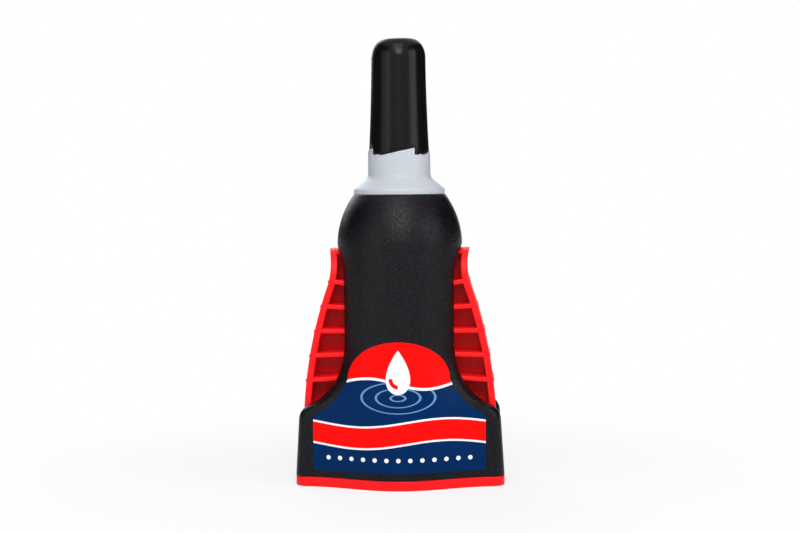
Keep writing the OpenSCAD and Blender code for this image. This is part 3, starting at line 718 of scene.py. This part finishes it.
def bottle_line(inset):
    """The soft bottle's (r, z) from the middle of its foot to its shoulder's end, taken in by inset."""
    low_z = BOTTLE_BASE_Z + inset
    wall_r = BOTTLE_R - inset
    foot = eased([(0, low_z, 0), (wall_r, low_z, BOTTLE_FOOT_EDGE), (wall_r, BOTTLE_SHOULDER_Z, 0)])
    t = np.linspace(0, 1, 17)
    r = blend(BOTTLE_R, NECK_HOLE_R, smooth(t)) - inset
    return np.concatenate([foot, np.stack([r, blend(BOTTLE_SHOULDER_Z, NECK_Z, t)], -1)])


def soft_half(outer, inner):
    """The right half of a turned wall: outside, inside, the rim at its top and two faces at the middle."""
    turns = np.linspace(-math.pi / 2, math.pi / 2, 33)
    out, back = around(outer, turns), around(inner, turns)
    faces = [np.stack([out[:, i], back[:, i]]) for i in (0, -1)]
    rim = np.stack([out[-1], back[-1]])
    return [sheet + np.array([HALF_GAP, 0, 0]) for sheet in [out, back, rim] + faces]


def glue_line():
    """The glue's (r, z): a plain cylinder inside the bottle's wall."""
    r = BOTTLE_R - BOTTLE_WALL - GLUE_GAP
    low_z = BOTTLE_BASE_Z + BOTTLE_WALL + GLUE_GAP
    return eased([(0, low_z, 0), (r, low_z, GLUE_EDGE), (r, low_z + GLUE_H, 0), (0, low_z + GLUE_H, 0)])


def neck_sheets():
    """The bottle's neck with its ring, mouth and bore as one closed profile turned about the axis."""
    low_z = NECK_Z + 2 * HALF_GAP
    ring_z = NECK_RING_TOP_Z - NECK_RING_T
    bore_r = NECK_R - BOTTLE_WALL
    profile = eased([
        (NECK_HOLE_R, low_z, 0), (NECK_HOLE_R, ring_z, 0), (NECK_RING_R, ring_z, RIM_EDGE),
        (NECK_RING_R, NECK_RING_TOP_Z, RIM_EDGE), (NECK_R, NECK_RING_TOP_Z, 0),
        (NECK_R, NECK_TOP_Z, MOUTH_EDGE), (bore_r, NECK_TOP_Z, MOUTH_EDGE), (bore_r, NECK_RING_TOP_Z, 0),
        (NECK_HOLE_R - BOTTLE_WALL, low_z, 0),
    ], closed=True)
    return [around(np.concatenate([profile, profile[:1]]), np.linspace(0, 2 * math.pi, 65))]


# Nozzle and cap

def cam_height(turn):
    """Height of a saw-tooth at a turn past its upright face: a flat, then a straight ramp."""
    return CAM_RISE * np.maximum(turn - CAM_FLAT, 0) / (CAM_TURN - CAM_FLAT)


def tooth_turns(gap_turn):
    """Turns past the upright face for one tooth, and of all teeth about the axis, both ends included."""
    flat = np.linspace(-gap_turn, CAM_FLAT, 9)
    past = np.concatenate([flat, np.linspace(CAM_FLAT, CAM_TURN - gap_turn, 15)[1:]])
    starts = CAM_PHASE + CAM_TURN * np.arange(CAM_TEETH)
    return np.tile(past, CAM_TEETH), (starts[:, None] + past).ravel()


def toothed(profile, turns, rise):
    """A surface of revolution whose rows rise by their third value's share of the teeth's height."""
    r, z, share = (profile[:, i:i + 1] for i in range(3))
    return looped(point(r * np.cos(turns), r * np.sin(turns), z + share * rise))


def with_share(profile, share):
    """A profile of (r, z) with a column that says how much of the teeth's rise it takes."""
    return np.concatenate([profile, np.full((len(profile), 1), share)], 1)


def nozzle_sheets():
    """Flange, cone, toothed collar, groove, boss and spout as one closed profile turned about the axis."""
    past, turns = tooth_turns(CAM_GAP_TURN)
    floor_z = CAP_Z - CAM_GAP
    ease = RIM_EDGE
    rim_in_r = COLLAR_R - COLLAR_WALL
    outside = eased([
        (NECK_HOLE_R, SHELL_TOP_Z, 0), (FLANGE_R, SHELL_TOP_Z, FLANGE_FOOT_EDGE),
        (FLANGE_R, SHELL_TOP_Z + FLANGE_T, FLANGE_LIP_EDGE), (COLLAR_R + COLLAR_DRAFT, COLLAR_Z, CONE_EDGE),
        (COLLAR_R, floor_z - ease, 0),
    ])
    rim = eased([
        (COLLAR_R, floor_z - ease, 0), (COLLAR_R, floor_z, ease), (rim_in_r, floor_z, ease),
        (rim_in_r, floor_z - ease, 0)])
    inside = eased([
        (rim_in_r, floor_z - ease, 0), (rim_in_r, GROOVE_Z, BOSS_EDGE), (BOSS_R, GROOVE_Z, BOSS_EDGE),
        (BOSS_R, BOSS_TOP_Z, BOSS_EDGE), (SPOUT_R, SPOUT_Z, SPOUT_EDGE), (TIP_R, TIP_Z, TIP_EDGE),
        (ORIFICE_R, TIP_Z, ORIFICE_EDGE), (ORIFICE_R, ORIFICE_Z, 0), (SPOUT_BORE_R, SPOUT_Z, 0),
        (SPOUT_BORE_R, DECK_Z, 0), (NECK_HOLE_R, DECK_Z, 0), (NECK_HOLE_R, SHELL_TOP_Z, 0),
    ])
    profile = np.concatenate([with_share(outside, 0), with_share(rim, 1), with_share(inside, 0)])
    return [toothed(profile, turns, cam_height(past))]


def cap_r(z):
    """Radius of the cap: a drawn-in taper, then an elliptic shoulder that ends in the flat on top."""
    taper = np.clip((CAP_DOME_Z - z) / (CAP_DOME_Z - CAP_Z), 0, 1) ** CAP_TAPER_POWER
    dome = chord(1, np.maximum(z - CAP_DOME_Z, 0) / CAP_DOME_H)
    return blend(CAP_TOP_R, CAP_RIM_R, taper) - (CAP_TOP_R - CAP_FLAT_R) * (1 - dome)


def cap_sheets():
    """Flat top, shoulder, taper, toothed rim and bore as one closed profile turned about the axis."""
    past, turns = tooth_turns(0)
    ease = CAP_RIM_EDGE
    clear_z = CAP_Z + CAM_RISE
    dome_z = CAP_DOME_Z + CAP_DOME_H * np.sin(np.linspace(math.pi / 2, 0, 25))
    taper_z = np.linspace(CAP_DOME_Z, clear_z + ease, 17)[1:]
    outer_z = np.concatenate([dome_z, taper_z])
    bore_r = CAP_TOP_R - CAP_WALL
    rim_in_r = CAP_RIM_R - CAP_WALL
    rim = eased([
        (cap_r(CAP_Z + ease), CAP_Z + ease, 0), (CAP_RIM_R, CAP_Z, ease), (rim_in_r, CAP_Z, ease / 2),
        (rim_in_r, CAP_Z + ease, 0)])
    inside = eased([
        (rim_in_r, clear_z + ease, 0), (bore_r, PLUG_Z - CAP_BORE_H, CAP_BORE_EDGE),
        (bore_r, CROWN_Z, CAP_BORE_EDGE), (0, CROWN_Z, 0),
    ])
    profile = np.concatenate([
        [[0, CAP_TOP_Z, 0]], with_share(np.stack([cap_r(outer_z), outer_z], -1), 0), with_share(rim, 1),
        with_share(inside, 0)])
    return [toothed(profile, turns, cam_height(past))]


# Labels

def label_sheets():
    """The front label: a film that follows the shell, its outline drawn in with the flare and domed."""
    low_z = np.linspace(LABEL_BOTTOM_Z, LABEL_WAIST_Z, 49)
    low_half = np.minimum(LABEL_HALF_W, FLARE_CX - chord(FLARE_R + LABEL_MARGIN, FLARE_Z - low_z))
    turn = np.linspace(0, math.pi / 2, 25)[1:]
    z = np.concatenate([low_z, LABEL_WAIST_Z + LABEL_DOME_H * np.sin(turn)])[:, None]
    half = np.concatenate([low_half, low_half[-1] * np.cos(turn)])[:, None]
    x = half * np.linspace(-1, 1, 81)
    front_y = -depth(x, z, 0) - LABEL_GAP - LABEL_T
    front, back = point(x, front_y, z), point(x, front_y + LABEL_T, z)
    edges = [np.stack([front[:, i], back[:, i]]) for i in (0, -1)]
    return [front, back, np.stack([front[0], back[0]])] + edges


# Materials

def new_material(name, roughness, **sockets):
    """A material with its Principled shader, constant values set on the shader's own sockets."""
    material = bpy.data.materials.new(name)
    material.use_nodes = True
    shader = material.node_tree.nodes["Principled BSDF"]
    shader.inputs["Roughness"].default_value = roughness
    for socket, value in sockets.items():
        shader.inputs[socket.replace("_", " ")].default_value = value
    return material, material.node_tree, shader


def feed(tree, socket, value):
    """Links a socket's value in, or sets a number or colour."""
    if isinstance(value, bpy.types.NodeSocket):
        tree.links.new(value, socket)
    else:
        socket.default_value = value


def calc(tree, operation, *values, clamp=False):
    """One Math node."""
    node = tree.nodes.new("ShaderNodeMath")
    node.operation = operation
    node.use_clamp = clamp
    for socket, value in zip(node.inputs, values):
        feed(tree, socket, value)
    return node.outputs[0]


def mix_colour(tree, share, first, second):
    """One colour Mix node from first to second."""
    node = tree.nodes.new("ShaderNodeMix")
    node.data_type = "RGBA"
    feed(tree, node.inputs["Factor"], share)
    for name, value in (("A", first), ("B", second)):
        socket = next(s for s in node.inputs if s.name == name and s.type == "RGBA")
        feed(tree, socket, value if isinstance(value, bpy.types.NodeSocket) else (*value, 1))
    return next(s for s in node.outputs if s.type == "RGBA")


def noise(tree, coords, size_mm, detail=2.0, roughness=0.5):
    """Noise with a grain of about the given size."""
    node = tree.nodes.new("ShaderNodeTexNoise")
    tree.links.new(coords, node.inputs["Vector"])
    node.inputs["Scale"].default_value = 1 / (size_mm * MM)
    node.inputs["Detail"].default_value = detail
    node.inputs["Roughness"].default_value = roughness
    return node.outputs["Fac"]


def object_coords(tree):
    """The piece's own coordinates, in metres."""
    return tree.nodes.new("ShaderNodeTexCoord").outputs["Object"]


SLOW_SCALE = 60.0


def moulding_group():
    """Shared look of moulded plastic: a fine grain as a height, and slow changes of tone and gloss."""
    tree = bpy.data.node_groups.new("moulding", "ShaderNodeTree")
    for name in ("Grain Scale", "Slow Scale"):
        tree.interface.new_socket(name, in_out="INPUT", socket_type="NodeSocketFloat")
    for name in ("Height", "Speck", "Tone"):
        tree.interface.new_socket(name, in_out="OUTPUT", socket_type="NodeSocketFloat")
    given, out = tree.nodes.new("NodeGroupInput"), tree.nodes.new("NodeGroupOutput")
    coords = object_coords(tree)
    grain = tree.nodes.new("ShaderNodeTexNoise")
    grain.inputs["Detail"].default_value = 3.0
    cells = tree.nodes.new("ShaderNodeTexVoronoi")
    slow = tree.nodes.new("ShaderNodeTexNoise")
    slow.inputs["Detail"].default_value = 3.0
    for node in (grain, cells, slow):
        tree.links.new(coords, node.inputs["Vector"])
    tree.links.new(given.outputs["Grain Scale"], grain.inputs["Scale"])
    tree.links.new(given.outputs["Grain Scale"], cells.inputs["Scale"])
    tree.links.new(given.outputs["Slow Scale"], slow.inputs["Scale"])
    pits = calc(tree, "SMOOTH_MIN", cells.outputs["Distance"], 0.55, 0.2)
    tree.links.new(calc(tree, "ADD", grain.outputs["Fac"], pits), out.inputs["Height"])
    tree.links.new(calc(tree, "POWER", grain.outputs["Fac"], 5.0, clamp=True), out.inputs["Speck"])
    tree.links.new(slow.outputs["Fac"], out.inputs["Tone"])
    return tree


MOULDING = moulding_group()


def moulded(name, dark, light, speck, grain_mm, bump_mm, rough, web=None, **sockets):
    """Moulded plastic: two close colours over slow noise, pale specks, uneven gloss and a fine grain.
    Where a colour is given for web, points marked with that attribute take it: painted shade for a recess."""
    least, most = rough
    material, tree, shader = new_material(name, least, **sockets)
    group = tree.nodes.new("ShaderNodeGroup")
    group.node_tree = MOULDING
    group.inputs["Grain Scale"].default_value = 1 / (grain_mm * MM)
    group.inputs["Slow Scale"].default_value = SLOW_SCALE
    tone = mix_colour(tree, group.outputs["Tone"], dark, light)
    colour = mix_colour(tree, group.outputs["Speck"], tone, speck)
    # Painted shade: the colour given for web darkens the marked points as if they lay in shadow.
    if web:
        mark = tree.nodes.new("ShaderNodeAttribute")
        mark.attribute_name = "web"
        colour = mix_colour(tree, mark.outputs["Fac"], colour, web)
    tree.links.new(colour, shader.inputs["Base Color"])
    gloss = calc(tree, "MULTIPLY_ADD", group.outputs["Tone"], most - least, least)
    tree.links.new(gloss, shader.inputs["Roughness"])
    bump = tree.nodes.new("ShaderNodeBump")
    bump.inputs["Strength"].default_value = 1.0
    bump.inputs["Distance"].default_value = bump_mm * MM
    tree.links.new(group.outputs["Height"], bump.inputs["Height"])
    tree.links.new(bump.outputs["Normal"], shader.inputs["Normal"])
    return material


NAVY = (0.0, 0.018, 0.082)
LABEL_RED = (0.95, 0.004, 0.003)
LABEL_WHITE = (0.86, 0.88, 0.9)
LABEL_PALE = (0.12, 0.27, 0.5)


class Print:
    """A printed label film: colour fields laid one over another, each a mask in millimetres."""

    soft = 0.07
    fibre_mm = 4.0
    fibre_lift = 1.25
    uneven_mm = 1.6
    rough_low = 0.3
    rough_span = 0.14
    bump_mm = 0.02

    def __init__(self, name):
        """Starts the film with a faintly uneven navy, and finds x and z in millimetres."""
        self.material, self.tree, self.shader = new_material(name, self.rough_low, IOR=1.12)
        split = self.tree.nodes.new("ShaderNodeSeparateXYZ")
        self.coords = object_coords(self.tree)
        self.tree.links.new(self.coords, split.inputs[0])
        self.x = self.calc("MULTIPLY", split.outputs["X"], 1 / MM)
        self.z = self.calc("MULTIPLY", split.outputs["Z"], 1 / MM)
        fibre = noise(self.tree, self.coords, self.fibre_mm, 4.0)
        self.colour = mix_colour(self.tree, fibre, NAVY, tuple(c * self.fibre_lift for c in NAVY))

    def calc(self, operation, *values, clamp=False):
        """One Math node of this film."""
        return calc(self.tree, operation, *values, clamp=clamp)

    def inside(self, field):
        """1 where the field, a distance in millimetres, is above 0, with a soft edge."""
        return self.calc("MULTIPLY_ADD", field, 1 / self.soft, 0.5, clamp=True)

    def line(self, field, width):
        """1 on a line of that width along the field's zero."""
        return self.inside(self.calc("SUBTRACT", width / 2, self.calc("ABSOLUTE", field)))

    def wave(self, level, rise, length, shift):
        """Height above a sine wave across the label."""
        phase = self.calc("MULTIPLY_ADD", self.x, 2 * math.pi / length, shift)
        crest = self.calc("MULTIPLY_ADD", self.calc("SINE", phase), rise, level)
        return self.calc("SUBTRACT", self.z, crest)

    def drop(self, low_z, height, half_w):
        """Room inside a drop: half width goes with the root of the share of height, times what is left."""
        share = self.calc("DIVIDE", self.calc("SUBTRACT", self.z, low_z), height, clamp=True)
        left = self.calc("SUBTRACT", 1.0, share)
        taper = self.calc("MULTIPLY", self.calc("SQRT", share), left)
        width = self.calc("MULTIPLY", taper, half_w * DROP_FULL)
        return self.calc("SUBTRACT", width, self.calc("MAXIMUM", self.calc("ABSOLUTE", self.x), self.soft))

    def distance(self, x, z, flat=1.0):
        """Distance from a point, with heights stretched by flat."""
        across = self.calc("SUBTRACT", self.x, x)
        up = self.calc("MULTIPLY", self.calc("SUBTRACT", self.z, z), flat)
        return self.calc("SQRT", self.calc("MULTIPLY_ADD", across, across, self.calc("MULTIPLY", up, up)))

    def lay(self, mask, colour):
        """Lays a colour over the print where the mask is 1."""
        self.colour = mix_colour(self.tree, mask, self.colour, colour)

    def both(self, first, second):
        """1 where both masks are 1."""
        return self.calc("MULTIPLY", first, second)

    def finish(self):
        """Links the colour in, with a film's slight unevenness in gloss and surface."""
        self.tree.links.new(self.colour, self.shader.inputs["Base Color"])
        uneven = noise(self.tree, self.coords, self.uneven_mm, 3.0)
        gloss = self.calc("MULTIPLY_ADD", uneven, self.rough_span, self.rough_low)
        self.tree.links.new(gloss, self.shader.inputs["Roughness"])
        bump = self.tree.nodes.new("ShaderNodeBump")
        bump.inputs["Strength"].default_value = 0.5
        bump.inputs["Distance"].default_value = self.bump_mm * MM
        self.tree.links.new(uneven, bump.inputs["Height"])
        self.tree.links.new(bump.outputs["Normal"], self.shader.inputs["Normal"])
        return self.material


def front_print():
    """A red field over a wave, a white drop with ripples below it, a red wave band and a row of dots."""
    art = Print("label_front_print")
    upper = art.wave(FIELD_Z, FIELD_RISE, FIELD_LENGTH, math.pi)
    band = art.wave(BAND_Z, BAND_RISE, BAND_LENGTH, 0.0)
    navy_field = art.both(art.inside(art.calc("MULTIPLY", upper, -1.0)), art.inside(band))
    ripple = art.distance(0.0, RIPPLE_Z, RIPPLE_FLAT)
    rings = art.calc("SUBTRACT", art.calc("PINGPONG", ripple, RIPPLE_STEP), RIPPLE_STEP)
    near = art.inside(art.calc("SUBTRACT", RIPPLE_REACH, ripple))
    art.lay(art.both(art.both(art.line(rings, RIPPLE_LINE), near), navy_field), LABEL_PALE)
    art.lay(art.inside(upper), LABEL_RED)
    art.lay(art.line(upper, FIELD_LINE), LABEL_WHITE)
    room = art.calc("SUBTRACT", BAND_HALF_W, art.calc("ABSOLUTE", band))
    art.lay(art.inside(room), LABEL_RED)
    art.lay(art.line(room, BAND_LINE), LABEL_WHITE)
    art.lay(art.inside(art.drop(DROP_Z, DROP_H, DROP_HALF_W)), LABEL_WHITE)
    shine = art.line(art.calc("SUBTRACT", art.distance(0.0, SHINE_Z), SHINE_R), SHINE_W)
    left = art.inside(art.calc("MULTIPLY", art.x, -1.0))
    low = art.inside(art.calc("SUBTRACT", SHINE_TOP_Z, art.z))
    art.lay(art.both(shine, art.both(left, low)), LABEL_RED)
    column = art.calc("PINGPONG", art.calc("ADD", art.x, DOT_SHIFT), DOT_STEP)
    up = art.calc("SUBTRACT", art.z, DOT_Z)
    dot = art.calc("SQRT", art.calc("MULTIPLY_ADD", column, column, art.calc("MULTIPLY", up, up)))
    in_row = art.inside(art.calc("SUBTRACT", DOT_ROW_HALF_W, art.calc("ABSOLUTE", art.x)))
    art.lay(art.both(art.inside(art.calc("SUBTRACT", DOT_R, dot)), in_row), LABEL_WHITE)
    return art.finish()


def back_print():
    """A red field over a wave, and a bare pale panel with rounded corners below it."""
    art = Print("label_back_print")
    upper = art.wave(FIELD_Z, FIELD_RISE, FIELD_LENGTH, 0.0)
    art.lay(art.inside(upper), LABEL_RED)
    art.lay(art.line(upper, FIELD_LINE), LABEL_WHITE)
    side = art.calc("MAXIMUM", art.calc("SUBTRACT", art.calc("ABSOLUTE", art.x), PANEL_HALF_W), 0.0)
    off_middle = art.calc("ABSOLUTE", art.calc("SUBTRACT", art.z, PANEL_Z))
    rise = art.calc("MAXIMUM", art.calc("SUBTRACT", off_middle, PANEL_HALF_H), 0.0)
    outside = art.calc("SQRT", art.calc("MULTIPLY_ADD", side, side, art.calc("MULTIPLY", rise, rise)))
    art.lay(art.inside(art.calc("SUBTRACT", PANEL_CORNER_R, outside)), LABEL_WHITE)
    return art.finish()


# The pale bluish speck colour on the shell is painted glints: bright specks that stand in for the speckled
# highlight of the spark-eroded grain.
SHELL_BLACK = moulded(
    "shell_plastic", (0.0012, 0.0012, 0.0024), (0.002, 0.002, 0.0034), (0.06, 0.06, 0.078),
    grain_mm=0.42, bump_mm=0.09, rough=(0.27, 0.33), IOR=1.25)
CAP_BLACK = moulded(
    "cap_plastic", (0.003, 0.003, 0.003), (0.004, 0.004, 0.004), (0.008, 0.008, 0.008),
    grain_mm=0.5, bump_mm=0.006, rough=(0.2, 0.25), IOR=1.24)
# The web colour is painted shade: the recessed web between the rungs is darkened to stand in for its
# shadow.
GRIP_RED = moulded(
    "grip_plastic", (0.92, 0.006, 0.008), (1.0, 0.01, 0.013), (1.0, 0.03, 0.03),
    grain_mm=0.35, bump_mm=0.015, rough=(0.32, 0.42), web=(0.56, 0.0, 0.002), IOR=1.25)
BASE_RED = moulded(
    "base_plastic", (0.8, 0.004, 0.006), (0.9, 0.007, 0.009), (0.95, 0.03, 0.03),
    grain_mm=0.4, bump_mm=0.01, rough=(0.26, 0.34), IOR=1.25)
NOZZLE_FROST = moulded(
    "nozzle_plastic", (0.45, 0.48, 0.53), (0.5, 0.53, 0.57), (0.57, 0.6, 0.63),
    grain_mm=0.4, bump_mm=0.01, rough=(0.3, 0.42), IOR=1.35, Subsurface_Weight=0.35, Subsurface_Scale=0.002)
BOTTLE_WHITE = moulded(
    "inner_bottle_plastic", (0.74, 0.76, 0.78), (0.84, 0.86, 0.87), (0.9, 0.9, 0.9),
    grain_mm=0.5, bump_mm=0.01, rough=(0.38, 0.46))
GLUE_CLEAR = moulded(
    "glue_liquid", (0.7, 0.75, 0.79), (0.76, 0.8, 0.83), (0.8, 0.84, 0.86),
    grain_mm=2.0, bump_mm=0.004, rough=(0.08, 0.12))
SEAL_FOAM = moulded(
    "seal_washer_foam", (0.66, 0.66, 0.63), (0.8, 0.8, 0.77), (0.5, 0.5, 0.47),
    grain_mm=0.2, bump_mm=0.05, rough=(0.7, 0.85))
PLUG_WHITE = moulded(
    "stopper_plastic", (0.52, 0.53, 0.55), (0.6, 0.61, 0.63), (0.66, 0.67, 0.69),
    grain_mm=0.4, bump_mm=0.01, rough=(0.36, 0.46))
PIN_STEEL = moulded(
    "pin_wire", (0.5, 0.5, 0.52), (0.62, 0.62, 0.64), (0.7, 0.7, 0.72),
    grain_mm=0.12, bump_mm=0.006, rough=(0.22, 0.36), Metallic=1.0)

# Pieces
make_piece("outer_shell_skin", mirrored(shell_quarter(), *QUARTERS), "bottle", "shell_black",
           ["outer_shell"], SHELL_BLACK)
make_piece("base_plate_skin", base_sheets(), "bottle", "base_red", ["base_plate"], BASE_RED)
right_grip_sheets = grip_sheets()
for side, sign in (("right", 1), ("left", -1)):
    grip = f"{side}_grip"
    sheets = mirrored(right_grip_sheets, (sign, 1, 1))
    mark_painted_web_shade(make_piece(f"{grip}_skin", sheets, grip, "grip_red", [grip], GRIP_RED))
make_piece("nozzle_skin", nozzle_sheets(), "bottle", "nozzle_frosted", ["nozzle"], NOZZLE_FROST)
make_piece("cap_skin", cap_sheets(), "cap", "cap_black", ["cap_shell"], CAP_BLACK)
front_sheets = label_sheets()
make_piece("front_label_film", front_sheets, "bottle", "label_film", ["front_label"], front_print())
back_sheets = mirrored(front_sheets, (-1, -1, 1))
make_piece("back_label_film", back_sheets, "bottle", "label_film", ["back_label"], back_print())

make_piece("inner_bottle_neck", neck_sheets(), "bottle", "bottle_white", ["inner_bottle"], BOTTLE_WHITE)
bottle_half = soft_half(bottle_line(0), bottle_line(BOTTLE_WALL))
glue_half = soft_half(glue_line(), glue_line() * (0, 1))
for side, sign in (("right", 1), ("left", -1)):
    for name, half, slot, node, material in (
        ("inner_bottle", bottle_half, "bottle_white", "inner_bottle", BOTTLE_WHITE),
        ("glue", glue_half, "glue_clear", "glue_fill", GLUE_CLEAR),
    ):
        piece = make_piece(f"{name}_{side}", mirrored(half, (sign, 1, 1)), "bottle", slot, [node], material)
        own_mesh(piece)

for node, material in (("neck_seal", SEAL_FOAM), ("cap_plug", PLUG_WHITE), ("anti_clog_pin", PIN_STEEL)):
    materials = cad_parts[node].data.materials
    materials.clear()
    materials.append(material)


# Stage, light and camera, in metres

def seen_by_eye(tree):
    """1 for camera, glossy and transmission rays."""
    path = tree.nodes.new("ShaderNodeLightPath")
    seen = calc(tree, "MAXIMUM", path.outputs["Is Camera Ray"], path.outputs["Is Glossy Ray"])
    return calc(tree, "MAXIMUM", seen, path.outputs["Is Transmission Ray"])


def make_floor():
    """A wide pale floor that keeps a soft shadow near the bottle and turns plain white farther out."""
    reach, near, far, near_white = 3.0, 0.03, 0.12, 0.7
    mesh = bpy.data.meshes.new("floor")
    side = np.linspace(-reach, reach, 3)
    x, y = np.meshgrid(side, side)
    index = np.arange(9).reshape(3, 3)
    quads = np.stack([index[:-1, :-1], index[:-1, 1:], index[1:, 1:], index[1:, :-1]], -1).reshape(-1, 4)
    mesh.from_pydata(point(x, y, 0.0).reshape(-1, 3), [], quads)
    material, tree, shader = new_material("floor_paper", 0.9, IOR=1.2)
    coords = object_coords(tree)
    pale = mix_colour(tree, noise(tree, coords, 30.0), (0.88, 0.88, 0.88), (0.9, 0.9, 0.9))
    tree.links.new(pale, shader.inputs["Base Color"])
    length = tree.nodes.new("ShaderNodeVectorMath")
    length.operation = "LENGTH"
    tree.links.new(coords, length.inputs[0])
    fade = tree.nodes.new("ShaderNodeMapRange")
    fade.interpolation_type = "SMOOTHSTEP"
    tree.links.new(length.outputs["Value"], fade.inputs["Value"])
    fade.inputs["From Min"].default_value = near
    fade.inputs["From Max"].default_value = far
    fade.inputs["To Min"].default_value = near_white
    glow = tree.nodes.new("ShaderNodeEmission")
    mix = tree.nodes.new("ShaderNodeMixShader")
    tree.links.new(calc(tree, "MULTIPLY", fade.outputs["Result"], seen_by_eye(tree)), mix.inputs["Fac"])
    tree.links.new(shader.outputs[0], mix.inputs[1])
    tree.links.new(glow.outputs[0], mix.inputs[2])
    tree.links.new(mix.outputs[0], tree.nodes["Material Output"].inputs["Surface"])
    mesh.materials.append(material)
    floor = bpy.data.objects.new("floor", mesh)
    bpy.context.scene.collection.objects.link(floor)


def make_card(name, x):
    """A dark card beside the bottle, seen only in reflections, that keeps black plastic dark there."""
    near, far, height = -0.6, 2.5, 0.9
    mesh = bpy.data.meshes.new(name)
    mesh.from_pydata([(x, near, 0), (x, far, 0), (x, far, height), (x, near, height)], [], [(0, 1, 2, 3)])
    material, tree, shader = new_material(name + "_felt", 0.9)
    felt = mix_colour(tree, noise(tree, object_coords(tree), 3.0), (0.01, 0.01, 0.01), (0.02, 0.02, 0.02))
    tree.links.new(felt, shader.inputs["Base Color"])
    mesh.materials.append(material)
    card = bpy.data.objects.new(name, mesh)
    card.visible_camera = False
    bpy.context.scene.collection.objects.link(card)


def make_world(strength):
    """A white surround for the eye, and a plain grey one for light."""
    world = bpy.data.worlds.new("studio")
    world.use_nodes = True
    bpy.context.scene.world = world
    tree = world.node_tree
    background = tree.nodes["Background"]
    background.inputs["Color"].default_value = (1, 1, 1, 1)
    tree.links.new(calc(tree, "MAXIMUM", seen_by_eye(tree), strength), background.inputs["Strength"])


CARD_X = 0.7
LAMP_AIM = Vector((0, 0, 0.05))


def make_lamp(name, place, size, watts):
    """A soft square lamp, turned to the bottle's middle."""
    lamp = bpy.data.lights.new(name, "AREA")
    lamp.size = size
    lamp.energy = watts
    holder = bpy.data.objects.new(name, lamp)
    bpy.context.scene.collection.objects.link(holder)
    holder.location = place
    holder.rotation_euler = (LAMP_AIM - Vector(place)).to_track_quat("-Z", "Y").to_euler()


CAMERA_DISTANCE = 0.350
CAMERA_HEIGHT = 0.0663
CAMERA_FOCUS_PX = 1618.0
FRAME_W_PX = 800
CAMERA_DOWN = math.radians(3.27)
CAMERA_ROLL = math.radians(-0.45)
CAMERA_ROUND = math.radians(2.5)


def make_camera():
    """The camera in front of the bottle, a little to its right and above its middle, with a slight roll."""
    data = bpy.data.cameras.new("camera")
    data.sensor_width = 36.0
    data.lens = data.sensor_width * CAMERA_FOCUS_PX / FRAME_W_PX
    data.clip_start = 0.01
    camera = bpy.data.objects.new("camera", data)
    bpy.context.scene.collection.objects.link(camera)
    tilt = Matrix.Rotation(math.pi / 2 - CAMERA_DOWN, 4, "X") @ Matrix.Rotation(CAMERA_ROLL, 4, "Z")
    place = Matrix.Translation((0, -CAMERA_DISTANCE, CAMERA_HEIGHT))
    camera.matrix_world = Matrix.Rotation(CAMERA_ROUND, 4, "Z") @ place @ tilt
    bpy.context.scene.camera = camera


make_floor()
make_card("right_card", CARD_X)
make_card("left_card", -CARD_X)
make_world(0.42)
make_lamp("key", (0.42, -0.2, 0.2), 0.26, 0.8)
make_lamp("front", (0.03, -0.46, 0.33), 0.2, 1.1)
make_lamp("top", (0.0, -0.3, 0.5), 0.3, 0.9)
make_lamp("fill", (-0.45, -0.35, 0.15), 0.4, 0.7)
make_lamp("back", (-0.2, 0.5, 0.32), 0.4, 1.1)
make_camera()
bpy.context.scene.view_settings.view_transform = "Standard"
